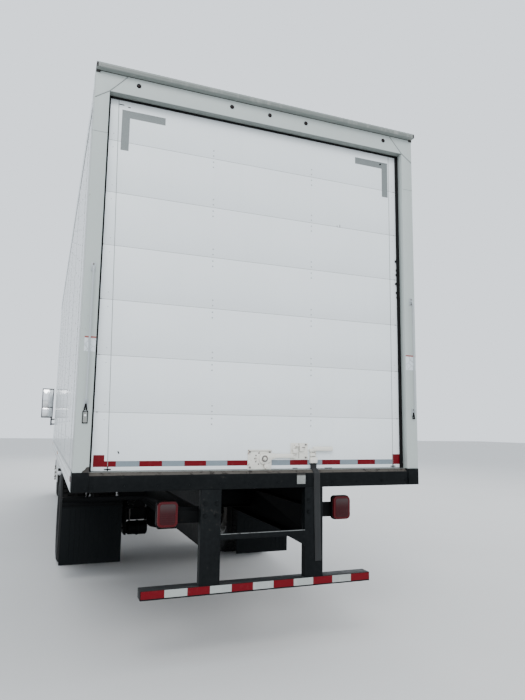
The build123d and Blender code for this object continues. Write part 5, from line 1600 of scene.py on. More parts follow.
@dataclass
class RearFrame:
    """Posts, header and roof cap, with welds, labels, marker lamps and grab rods."""

    post: float = 0.100
    weld: float = 0.003
    seam_z: float = 3.545
    markers: Sequence[float] = (0.999, 0.306, 0.0, -0.306, -1.016)
    marker_z: float = 3.938
    ring: Sequence[Pair] = (
        (0.0095, 0.0), (0.0160, 0.0), (0.0160, 0.003), (0.0140, 0.005), (0.0110, 0.005), (0.0095, 0.003),
    )
    dome: Sequence[Pair] = (
        (0.0, -0.001), (0.0105, -0.001), (0.0105, 0.004), (0.008, 0.0065), (0.004, 0.0078), (0.0, 0.008),
    )
    labels: Sequence[tuple[float, ...]] = ((0.027, 0.099, 2.025, 2.125), (2.494, 2.586, 2.025, 2.145))
    label_band: float = 0.011
    rods: Sequence[tuple[float, float, float]] = (
        (inward(0.057), 1.690, 2.590), (0.038 - HALF_BODY, 1.690, 2.585),
    )
    rod_radius: float = 0.0065

    def shaded(self, face: bmesh.types.BMFace) -> bool:
        """Whether a face is part of the darker roof cap, or the underside of the header, which is painted in
        shade.
        """
        return face.calc_center_median().z > HEADER_TOP + 0.001 or face.normal.z < -0.5

    def make_welds(self) -> None:
        """The mitre welds at the upper corners and the seams across the posts."""
        shape = Shape()
        y = REAR_FACE + 0.0006
        for side in Side:
            edge, inner = side.x(HALF_BODY), side.x(HALF_BODY - self.post)
            corner = (inner, y, HEADER_BOTTOM)
            shape.rod((side.x(HALF_BODY - 0.004), y, 3.79), corner, self.weld, 6)
            shape.rod(corner, (side.x(HALF_BODY - self.post - 0.12), y, HEADER_TOP - 0.004), self.weld, 6)
            shape.rod((edge, y, self.seam_z), (inner, y, self.seam_z), 0.0011, 6)
            proud = side.x(HALF_BODY + 0.0008)
            shape.box((edge, 5.184, WALL_BOTTOM), (proud, 5.192, WALL_TOP))
            shape.box((edge, REAR_FACE - 0.012, SILL_TOP), (proud, REAR_FACE - 0.008, HEADER_TOP))
        shape.piece("frame_welds", SEAM_AND_SHADE_GREY, Slot.BODY)

    def make_cap(self) -> None:
        """The rolled edge along the roof cap, the dark joint below it (sealant, and painted shadow under the
        cap) and its rusty ends.
        """
        shape = Shape()
        y, z = REAR_FACE + 0.036, 4.0215
        shape.rod((-HALF_BODY, y, z), (HALF_BODY, y, z), 0.0078, 12)
        shape.finish = 1
        shape.blocks([(-HALF_BODY, HALF_BODY, 0, 0.0455, 3.996, 4.016, 0)], REAR_FACE)
        shape.finish = 2
        # The dark strip under the cap is sealant, and also painted shadow under the cap.
        rows = [(-HALF_BODY, HALF_BODY, 0, 0.002, 3.9885, 3.9935, 0)]
        for side in Side:
            edge = side.x(HALF_BODY)
            rows.append((side.x(HALF_BODY - 0.030), edge, 0, 0.006, 3.975, 3.996, 0.002))
            rows.append((side.x(HALF_BODY - 0.014), edge, 0, 0.0462, 3.994, 4.024, 0.002))
        shape.blocks(rows, REAR_FACE)
        shape.piece("cap_edge", [FRAME_WHITE, CAP_GREY, IRON], Slot.BODY)

    def make_labels(self) -> None:
        """Blank labels on both posts."""
        shape = Shape()
        for near, far, low, high in self.labels:
            band = high - self.label_band
            for shape.finish, foot, head in ((0, low, band), (1, band, high)):
                shape.blocks([(inward(far), inward(near), 0, 0.0005, foot, head, 0)], REAR_FACE)
        shape.piece("post_labels", [LABEL_PALE, LABEL_RED], Slot.BODY)

    def make_rods(self) -> None:
        """Grab rods with their bolted ends and dark hooks, and the tag that hangs from the left one."""
        shape = Shape()
        near, out = REAR_FACE + 0.004, REAR_FACE + 0.030
        for x, low, high in self.rods:
            upper = [(x, near, high), (x, out, high - 0.004), (x, out, high - 0.05)]
            lower = [(x, out, low + 0.05), (x, out, low + 0.004), (x, near, low)]
            shape.finish = 0
            shape.bent(upper + lower, self.rod_radius)
            rows = [(x - 0.016, x + 0.016, 0, 0.005, z - 0.032, z + 0.028, 0.002) for z in (low, high)]
            shape.blocks(rows, REAR_FACE)
            shape.finish = 1
            for z in (low - 0.022, low + 0.018, high - 0.022, high + 0.018):
                shape.stud(x, z, (near, REAR_FACE + 0.009), 0.006)
            shape.finish = 2
            hook = (REAR_FACE + 0.010, low - 0.052)
            for reach in (-0.009, 0.009):
                shape.rod((x, REAR_FACE + 0.008, low + 0.002), (x + reach, *hook), 0.0045, 8)
            shape.rod((x - 0.010, *hook), (x + 0.010, *hook), 0.0045, 8)
        x = self.rods[0][0]
        shape.blocks([(x - 0.018, x + 0.018, 0.002, 0.007, 1.560, 1.640, 0.002)], REAR_FACE)
        shape.finish = 3
        shape.blocks([(x - 0.013, x + 0.013, 0.003, 0.008, 1.566, 1.634, 0.002)], REAR_FACE)
        shape.finish = 4
        shape.stud(x, 1.612, (REAR_FACE + 0.007, REAR_FACE + 0.0095), 0.007, 10)
        # The rods' grey is partly painted shade.
        finishes = [RIVET_GREY_AND_SHADE, NUT_STEEL, SEAL, STRIKER_GREY, WHITE]
        shape.piece("grab_rods_finished", finishes, Slot.LATCH, replaces=["grab_rods"])

    def make_markers(self) -> None:
        """Five small round marker lamps in their grommets."""
        shape = Shape()
        for x in self.markers:
            origin = (x, REAR_FACE, self.marker_z)
            shape.finish = 0
            shape.lathe(self.ring, origin, (0, 1, 0), 24)
            shape.finish = 1
            shape.lathe(self.dome, origin, (0, 1, 0), 20, closed=False)
        shape.piece("marker_lamps", [SEAL, DARK_LENS], Slot.RED)

    def make(self) -> None:
        """Dress the frame."""
        # The second finish paints shade on the header's underside, and greys the roof cap.
        softened("rear_frame", [FRAME_WHITE, CAP_AND_SOFFIT_SHADE_GREY], Slot.BODY, 0.003, second=self.shaded)
        self.make_welds()
        self.make_cap()
        self.make_labels()
        self.make_rods()
        self.make_markers()


@dataclass
class Sill:
    """The black sill, its lip (worn, and painted paler as a painted highlight), bolts and end blocks."""

    opening: float = 1.1955
    skin: float = 0.0005
    worn: float = 0.8
    bolt_z: float = 1.160
    strap_x: float = -0.404
    dirt: Sequence[Pair] = (
        (0.0, 1.2505), (0.045, 1.2505), (0.040, 1.262), (0.026, 1.270), (0.018, 1.284), (0.006, 1.288),
        (0.0, 1.286),
    )

    def make(self) -> None:
        """Dress the sill."""
        softened("rear_sill", SILL_BLACK, Slot.BLACK, 0.003)
        shape = Shape()
        # The lip over the sill's slope is painted paler: wear, and a painted highlight.
        top = Vector((0, REAR_FACE - SILL_SLOPE, SILL_TOP))
        foot = top.lerp(Vector((0, REAR_FACE, SILL_TOP - SILL_FALL)), self.worn)
        out = Vector((0, SILL_FALL, SILL_SLOPE)).normalized() * self.skin
        ends = Vector((self.opening - 0.002, 0, 0))
        shape.plate([top - ends, top + ends, foot + ends, foot - ends], out)
        shape.finish = 2
        shape.box((-self.opening, DOOR_FACE, SILL_TOP), (self.opening, top.y, SILL_TOP + self.skin))
        shape.finish = 3
        shape.upright([(self.opening + x, z) for x, z in self.dirt], REAR_FACE, 0.0012)
        shape.finish = 1
        for x in spaced(-1.18, 0.2145, 12):
            if abs(x - self.strap_x) > 0.06:
                shape.stud(x, self.bolt_z, (REAR_FACE, REAR_FACE + 0.004), 0.009)
        shape.piece("sill_lip", [WORN_LIP_AND_HIGHLIGHT, SILL_BLACK, FRAME_WHITE, IRON], Slot.BLACK)
        blocks = Shape()
        for side in Side:
            x = side.x(HALF_BODY - 0.052)
            blocks.blocks([(x - 0.046, x + 0.046, 0, 0.010, 1.133, 1.246, 0.003)], REAR_FACE)
        blocks.piece("sill_ends", SILL_BLACK, Slot.RUBBER)


@dataclass
class TailLamps:
    """Two tail lamps, each a red body with a clear patch in a black housing, on its bracket."""

    x: Pair = (0.590, 0.737)
    z: Pair = (0.872, 1.048)
    face: float = REAR_FACE - 0.085
    depth: float = 0.055
    arm: float = 0.432
    tubs: Sequence[tuple[float, ...]] = (
        (0.0, -0.055, -0.022, 0.026), (0.004, -0.040, -0.003, 0.030), (0.020, -0.012, 0.0, 0.018),
    )

    def make(self) -> None:
        """Build both lamps: the housing, the lens and the clear patch, each a tub in the one behind it."""
        shape = Shape()
        back = self.face - self.depth
        foot, head = self.z
        for side in Side:
            low, high = sorted(map(side.x, self.x))
            for shape.finish, (inset, near, far, radius) in enumerate(self.tubs):
                across, upward = (low + inset, high - inset), (foot + inset, head - inset)
                outline = rounded_corners(across, upward, radius, 6)
                shape.upright(outline, self.face + near, far - near, 0.0025)
            shape.finish = 3
            mid = (low + high) / 2
            shape.blocks([(side.x(self.arm), mid, -0.010, -0.002, 0.895, 1.000, 0.002)], back)
            for z in (foot + 0.03, head - 0.03):
                shape.stud(mid, z, (back, back - 0.016), 0.006, 8)
        shape.piece("tail_lamps", [SEAL, RED_LENS, LAMP_WINDOW, BLACK], Slot.RED, replaces=["rear_lamps"])


@dataclass
class Guard:
    """The underride guard with its tape, bolts and gusset, and the mud flaps."""

    half: float = 0.842
    high: float = 0.504
    margin: float = 0.004
    tape: float = 0.048
    stretches: int = 11
    bolt_x: Sequence[float] = (0.345, 0.427)
    bolt_z: Sequence[float] = (0.955, 1.035)
    strap_x: float = -0.404
    riser: Pair = (0.315, 0.457)
    flaps: dict[Side, Pair] = field(
        default_factory=lambda: {Side.LEFT: (0.660, 1.262), Side.RIGHT: (0.602, 1.212)}
    )

    def worn(self, face: bmesh.types.BMFace) -> bool:
        """Whether a face is the bar's top, painted paler for scuffs and as a painted highlight."""
        return face.normal.z > 0.9 and face.calc_center_median().z < self.high + 0.01

    def make_tape(self) -> None:
        """Eleven stretches of tape, red at both ends."""
        shape = Shape()
        taped = self.half - self.margin
        length = 2 * taped / self.stretches
        top = self.high - self.margin
        for index, start in enumerate(spaced(taped, -length, self.stretches)):
            shape.finish = index % 2
            ends = (start - length + 0.0006, start - 0.0006)
            shape.blocks([(*ends, 0, 0.0008, top - self.tape, top, 0)], REAR_FACE)
        shape.piece("guard_tape", [RED_TAPE, WHITE_TAPE], Slot.RED)

    def make_bolts(self) -> None:
        """Bolts at the risers' heads, weld beads at the bar, and the bright edge of the cross angle, a
        painted highlight with worn chips.
        """
        shape = Shape()
        for side in Side:
            for x in map(side.x, self.bolt_x):
                if abs(x - self.strap_x) < 0.05:
                    continue
                for z in self.bolt_z:
                    shape.stud(x, z, (REAR_FACE, REAR_FACE + 0.008), 0.012)
                    shape.stud(x, z, (REAR_FACE, REAR_FACE + 0.002), 0.017, 12)
            bead = (REAR_FACE - 0.002, self.high + 0.002)
            inner, outer = sorted(map(side.x, self.riser))
            shape.rod((inner, *bead), (outer, *bead), 0.004, 6)
        shape.piece("guard_bolts", SILL_BLACK, Slot.BLACK)
        # A grey strip on the cross angle's edge is a painted highlight, with chips.
        edge = Shape()
        edge.blocks([(-0.314, 0.314, -0.0035, 0.0004, 0.8265, 0.8305, 0.0008)], REAR_FACE)
        edge.piece("cross_angle_edge", WORN_EDGE_AND_HIGHLIGHT, Slot.BLACK)

    def make_flaps(self) -> None:
        """Ribbed rubber flaps on their arms."""
        low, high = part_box("mud_flaps")
        foot, head = low.z, high.z
        y = (low.y + high.y) / 2
        for side in Side:
            inner, outer = sorted(map(side.x, self.flaps[side]))
            shape = Shape()
            rows = [(inner, outer, -0.005, 0.005, foot, head, 0.003)]
            for x in spaced(inner + 0.045, 0.047, 11):
                rows.append((x - 0.004, x + 0.004, 0.004, 0.007, foot + 0.04, head - 0.08, 0.001))
            shape.blocks(rows, y)
            shape.finish = 1
            shape.blocks([(inner, outer, 0.004, 0.010, head - 0.055, head - 0.010, 0.002)], y)
            for x in spaced(inner + 0.05, 0.115, 5):
                shape.stud(x, head - 0.032, (y + 0.009, y + 0.017), 0.009)
            shape.piece(f"mud_flap_{side.word}", [FLAP, BLACK], Slot.RUBBER, replaces=["mud_flaps"])

    def make(self) -> None:
        """Dress the guard."""
        # The bar's top takes the second finish, paler as scuffs and a painted highlight.
        softened("underride_guard", [SILL_BLACK, SCUFFED_AND_HIGHLIGHT], Slot.BLACK, 0.004, second=self.worn)
        self.make_tape()
        self.make_bolts()
        self.make_flaps()


@dataclass
class BodySides:
    """Riveted side sheets, front wall and roof of the load body."""

    sheet: float = HALF_BODY - 0.003
    post_pitch: float = 0.406
    sheet_pitch: float = 1.218
    rail_pitch: float = 0.0985
    first_post: float = BODY_FRONT + 0.10
    rivet: float = 0.0065
    head: float = 0.0028
    lamps: Sequence[tuple[int, float]] = (
        (0, BODY_FRONT + 0.12), (0, BODY_FRONT + 3.9), (1, REAR_FACE - 0.25),
    )

    def rivets(
        self, name: str, start: Point, out: Point, rows: Sequence[tuple[int, Point]], finish: Finish
    ) -> None:
        """One field of rivets, repeated in rows.

        Args:
            name: The piece's name.
            start: Middle of the first rivet, on the sheet.
            out: The way the sheet faces.
            rows: Counts and steps of the rows.
            finish: The finish.
        """
        shape = Shape()
        start, out = Vector(start), Vector(out)
        shape.rod(start - out * 0.0004, start + out * self.head, self.rivet, 8, self.rivet * 0.5)
        repeated(shape.piece(name, finish, Slot.BODY), rows)

    def make_side(self, side: Side) -> None:
        """Rivets and seams of one side.

        Args:
            side: The side.
        """
        sheet, rail, out = side.x(self.sheet), side.x(HALF_BODY), (side.value, 0, 0)
        # Post and seam rivets take the grey that is part painted shade.
        self.rivets(f"post_rivets_{side.word}", (sheet, self.first_post, 1.32), out,
                    [(19, (0, self.post_pitch, 0)), (19, (0, 0, 0.13))], RIVET_GREY_AND_SHADE)
        self.rivets(f"seam_rivets_{side.word}", (sheet, self.first_post + 1.195, 1.29), out,
                    [(2, (0, 0.046, 0)), (6, (0, self.sheet_pitch, 0)), (39, (0, 0, 0.064))], RIVET_GREY_AND_SHADE)
        for word, z in (("top", 3.845), ("bottom", 1.155)):
            self.rivets(f"{word}_rail_rivets_{side.word}", (rail, BODY_FRONT + 0.06, z), out,
                        [(78, (0, self.rail_pitch, 0)), (2, (0, 0, 0.052))], WHITE)
        seams = Shape()
        proud = side.x(self.sheet + 0.0012)
        for y in spaced(self.first_post + self.sheet_pitch, self.sheet_pitch, 6):
            seams.box((sheet, y - 0.030, 1.246), (proud, y + 0.030, 3.814), 0.0004)
        seams.finish = 1
        for z in (WALL_TOP - 0.1145, WALL_BOTTOM + 0.130):
            seams.box((sheet, BODY_FRONT + 0.05, z), (side.x(HALF_BODY + 0.0004), 5.19, z + 0.0045))
        seams.piece(f"sheet_seams_{side.word}", [SHADED_WALL_SHEET, SEAM_AND_SHADE_GREY], Slot.BODY)

    def make_front(self) -> None:
        """Rivets and trim of the front wall."""
        self.rivets("front_rivets", (-1.10, BODY_FRONT, 1.25), (0, -1, 0),
                    [(5, (0.55, 0, 0)), (21, (0, 0, 0.13))], FRONT_SHEET)
        corner = Shape()
        posts = [side.x(HALF_BODY - 0.10) for side in Side]
        strips = [(x - 0.012, x + 0.012, 1.13, 3.91) for x in posts]
        strips += [(-1.19, 1.19, 3.86, 3.90), (-1.19, 1.19, 1.13, 1.19)]
        corner.blocks([(x0, x1, -0.0015, 0.001, z0, z1, 0.0005) for x0, x1, z0, z1 in strips], BODY_FRONT)
        corner.piece("front_trim", WHITE, Slot.BODY)

    def make_roof(self) -> None:
        """Roof bows that show through the skin."""
        shape = Shape()
        for y in spaced(BODY_FRONT + 0.45, 0.61, 12):
            shape.box((-1.25, y - 0.02, 3.9845), (1.25, y + 0.02, 3.9862), 0.0006)
        shape.piece("roof_bow_marks", ROOF_SHEET, Slot.ALUMINIUM)

    def make_side_lamps(self) -> None:
        """Amber lamps at the front corners and red ones at the rear, on the rails."""
        for side in Side:
            shape = Shape()
            for finish, y in self.lamps:
                shape.finish = finish
                face = side.x(HALF_BODY)
                shape.box((face, y - 0.045, 1.178), (side.x(HALF_BODY + 0.004), y + 0.045, 1.212), 0.0015)
            shape.piece(f"side_lamps_{side.word}", [AMBER_LENS, RED_LENS], Slot.AMBER)

    def make(self) -> None:
        """Dress the body."""
        # The side walls are painted darker, as painted shade.
        coat(SHADED_WALL_SHEET, "box_wall_left", "box_wall_right")
        coat(FRONT_SHEET, "box_front_wall")
        coat(ROOF_SHEET, "box_roof")
        coat(FLOOR_WOOD, "box_floor")
        coat(BLACK, "box_longsills", "box_crossmembers")
        for side in Side:
            self.make_side(side)
        self.make_front()
        self.make_roof()
        self.make_side_lamps()


@dataclass
class Wheel:
    """Tyres and painted disc wheels, single in front and dual behind.

    Profiles hold radii and distances out along the wheel's axis.
    """

    tread_floor: float = 0.4895
    tread_top: float = 0.5055
    block_rows: Sequence[float] = (-0.080, -0.027, 0.027, 0.080)
    block_half: Pair = (0.0225, 0.0235)
    pitches: int = 54
    bolts: int = 10
    bolt_circle: float = 0.1429
    steps: int = 80
    turned: int = 40
    wall: Sequence[Pair] = (
        (0.497, 0.113), (0.484, 0.124), (0.468, 0.1315), (0.466, 0.1330), (0.458, 0.1335), (0.432, 0.1372),
        (0.402, 0.1380), (0.372, 0.1358), (0.350, 0.1312), (0.347, 0.1322), (0.340, 0.1302), (0.322, 0.1215),
        (0.306, 0.112), (0.299, 0.1035), (0.2855, 0.1025),
    )
    lining: Sequence[Pair] = (
        (0.290, 0.088), (0.33, 0.102), (0.40, 0.120), (0.45, 0.112), (0.472, 0.085), (0.474, 0.0),
    )
    rim_out: Sequence[Pair] = (
        (0.2965, 0.113), (0.2985, 0.110), (0.2960, 0.1045), (0.2850, 0.1020), (0.2825, 0.095), (0.268, 0.078),
        (0.262, 0.030),
    )
    rim_in: Sequence[Pair] = (
        (0.254, 0.026), (0.259, 0.076), (0.2745, 0.093), (0.2755, 0.1035), (0.289, 0.110),
    )
    disc_radii: Sequence[float] = (0.088, 0.120, 0.165, 0.182, 0.202, 0.222, 0.242, 0.256, 0.2655)
    disc_shares: Sequence[float] = (0.0, 0.0, 0.0, 0.10, 0.26, 0.45, 0.67, 0.86, 1.0)
    hand_hole: Pair = (0.2, 0.243)
    front_drum: Sequence[Pair] = (
        (0.085, 0.080), (0.190, 0.078), (0.202, 0.070), (0.202, -0.045), (0.186, -0.052), (0.186, 0.060),
        (0.085, 0.066),
    )
    front_cap: Sequence[Pair] = (
        (0.0, 0.199), (0.050, 0.199), (0.056, 0.194), (0.060, 0.185), (0.078, 0.183), (0.084, 0.178),
        (0.086, 0.150), (0.0, 0.150),
    )
    rear_drum: Sequence[Pair] = (
        (0.085, -0.060), (0.190, -0.062), (0.204, -0.075), (0.204, -0.285), (0.188, -0.292), (0.188, -0.090),
        (0.085, -0.080),
    )
    rear_cap: Sequence[Pair] = (
        (0.0, 0.1295), (0.070, 0.1295), (0.086, 0.124), (0.089, 0.112), (0.089, 0.05), (0.104, 0.02),
        (0.112, 0.012), (0.0, 0.012),
    )

    @staticmethod
    def mirrored(half: Sequence[Pair]) -> list[Pair]:
        """The other half of a section, from its end back to its start."""
        return [(radius, -along) for radius, along in reversed(half)]

    def tyre(self, shape: Shape, origin: Vector, axis: Vector, blocks: bool) -> None:
        """Add one tyre.

        Args:
            shape: The mesh.
            origin: The wheel's middle.
            axis: The way it faces.
            blocks: Whether the tread has blocks, in the place of ribs.
        """
        top, floor = self.tread_top, self.tread_floor
        if blocks:
            tread = [(floor, 0.0), (floor, 0.100), (0.497, 0.108)]
        else:
            tread = [(top, 0.0), (top, 0.022), (floor, 0.0245), (floor, 0.0325), (top, 0.035)]
            tread += [(top - 0.0005, 0.062), (floor, 0.0645), (floor, 0.0725)]
            tread += [(top - 0.001, 0.075), (top - 0.0025, 0.104)]
        half = [*tread, *self.wall, *self.lining]
        shape.lathe(half + self.mirrored(half[1:-1]), origin, axis, self.steps)
        if blocks:
            self.add_blocks(shape, origin, axis)

    def add_blocks(self, shape: Shape, origin: Vector, axis: Vector) -> None:
        """Add rows of tread blocks round a driven tyre.

        Args:
            shape: The mesh.
            origin: The wheel's middle.
            axis: The way it faces.
        """
        wide, long = self.block_half
        for row, along in enumerate(self.block_rows):
            start = len(shape.mesh.faces)
            turn = Matrix.Rotation(math.tau / self.pitches / 2 * (row % 2), 4, axis)
            place = Matrix.Translation(origin) @ turn @ Matrix.Translation(axis * along)
            shape.box((-wide, -long, self.tread_floor - 0.003), (wide, long, self.tread_top), 0.0, place)
            shape.repeat_round(start, self.pitches, origin, axis)

    def rim(self, shape: Shape, origin: Vector, axis: Vector) -> None:
        """Add one rim's barrel, with its flanges.

        Args:
            shape: The mesh.
            origin: The rim's middle.
            axis: The way it faces.
        """
        outside, inside = list(self.rim_out), list(self.rim_in)
        section = outside + self.mirrored(outside) + self.mirrored(inside) + inside
        shape.lathe(section, origin, axis, self.steps)

    def disc(self, name: str, body: str, origin: Vector, axis: Vector, offsets: Pair) -> None:
        """Make one wheel disc with five hand holes.

        Args:
            name: The piece's name.
            body: The body that carries it.
            origin: The middle that the offsets count from.
            axis: The way the wheel faces.
            offsets: Of its flat middle and of its edge in the rim.
        """
        shape = Shape()
        hub, edge = offsets
        shares = zip(self.disc_radii, self.disc_shares)
        profile = [(radius, hub + (edge - hub) * share) for radius, share in shares]
        shape.lathe(profile, origin, axis, self.turned, closed=False)
        side = axis.orthogonal().normalized()
        up = axis.cross(side)
        holes = []
        for face in shape.mesh.faces:
            arm = face.calc_center_median() - origin
            arm -= axis * arm.dot(axis)
            turn = math.degrees(math.atan2(arm.dot(up), arm.dot(side))) % 72
            if self.hand_hole[0] < arm.length < self.hand_hole[1] and turn < 18:
                holes.append(face)
        bmesh.ops.delete(shape.mesh, geom=holes, context="FACES")
        bmesh.ops.solidify(shape.mesh, geom=list(shape.mesh.faces), thickness=0.010)
        rounded(shape.piece(name, WHEEL_WHITE, Slot.WHEEL, body))

    def nuts(self, shape: Shape, origin: Vector, axis: Vector, seat: float) -> None:
        """Add a ring of wheel nuts on their studs.

        Args:
            shape: The mesh.
            origin: The middle that the seat counts from.
            axis: The way the wheel faces.
            seat: Offset of the face that they sit on.
        """
        start = len(shape.mesh.faces)
        foot = origin + axis.orthogonal().normalized() * self.bolt_circle + axis * seat
        shape.rod(foot, foot + axis * 0.004, 0.0215, 16, 0.020)
        shape.rod(foot + axis * 0.004, foot + axis * 0.024, 0.0175, 6)
        shape.rod(foot + axis * 0.024, foot + axis * 0.034, 0.0105, 10)
        shape.repeat_round(start, self.bolts, origin, axis)

    def cap_bolts(
        self, shape: Shape, origin: Vector, axis: Vector, place: Pair, size: Pair, count: int
    ) -> None:
        """Add the ring of small bolts on a hub's cap.

        Args:
            shape: The mesh.
            origin: The middle that the offset counts from.
            axis: The way the wheel faces.
            place: Radius of the ring, and offset of the face that they sit on.
            size: Height and radius of a bolt.
            count: How many there are.
        """
        start = len(shape.mesh.faces)
        foot = origin + axis.orthogonal().normalized() * place[0] + axis * place[1]
        shape.rod(foot, foot + axis * size[0], size[1], 6)
        shape.repeat_round(start, count, origin, axis)

    def make_front(self, side: Side) -> None:
        """Front tyre, wheel, hub and drum on one side.

        Args:
            side: The side.
        """
        body = f"wheel_front_{side.word}"
        axis = Vector((side.value, 0, 0))
        origin = Vector((side.x(FRONT_WHEEL_X), FRONT_AXLE, AXLE_Z))
        tyre = Shape()
        self.tyre(tyre, origin, axis, False)
        tyre.piece(f"front_tyre_{side.word}", TYRE, Slot.TYRE, body, [f"tyre_front_{side.word}"])
        self.disc(f"front_disc_{side.word}", body, origin, axis, (0.160, 0.088))
        shape = Shape()
        self.rim(shape, origin, axis)
        shape.finish = 1
        self.nuts(shape, origin, axis, 0.1655)
        shape.lathe(self.front_drum, origin, axis, self.turned)
        shape.finish = 2
        shape.lathe(self.front_cap, origin, axis, self.turned, closed=False)
        self.cap_bolts(shape, origin, axis, (0.069, 0.183), (0.006, 0.006), 6)
        finishes = [WHEEL_WHITE, NUT_STEEL, WHEEL_WHITE]
        shape.piece(f"front_wheel_{side.word}", finishes, Slot.WHEEL, body, [f"rim_front_{side.word}"])

    def make_rear(self, side: Side) -> None:
        """Dual tyres, wheels, hub and drum on one side.

        Args:
            side: The side.
        """
        body = f"wheels_rear_{side.word}"
        axis = Vector((side.value, 0, 0))
        middle, outer, inner = (
            Vector((side.x(x), REAR_AXLE, AXLE_Z)) for x in (DUAL_MIDDLE_X, DUAL_OUTER_X, DUAL_INNER_X)
        )
        for word, origin in (("outer", outer), ("inner", inner)):
            tyre = Shape()
            self.tyre(tyre, origin, axis, True)
            stands = [f"tyres_rear_{side.word}"]
            tyre.piece(f"rear_tyre_{word}_{side.word}", TYRE, Slot.TYRE, body, stands)
        for word, offsets in (("outer", (0.007, 0.080)), ("inner", (-0.007, -0.080))):
            self.disc(f"rear_disc_{word}_{side.word}", body, middle, axis, offsets)
        shape = Shape()
        for origin in (outer, inner):
            self.rim(shape, origin, axis)
        shape.finish = 1
        self.nuts(shape, middle, axis, 0.0125)
        shape.lathe(self.rear_drum, middle, axis, self.turned)
        shape.finish = 2
        shape.lathe(self.rear_cap, middle, axis, self.turned, closed=False)
        self.cap_bolts(shape, middle, axis, (0.066, 0.129), (0.001, 0.0075), 8)
        finishes = [WHEEL_WHITE, NUT_STEEL, NUT_STEEL]
        shape.piece(f"rear_wheel_{side.word}", finishes, Slot.WHEEL, body, [f"rims_rear_{side.word}"])

    def make(self) -> None:
        """Build all the wheels."""
        for side in Side:
            self.make_front(side)
            self.make_rear(side)


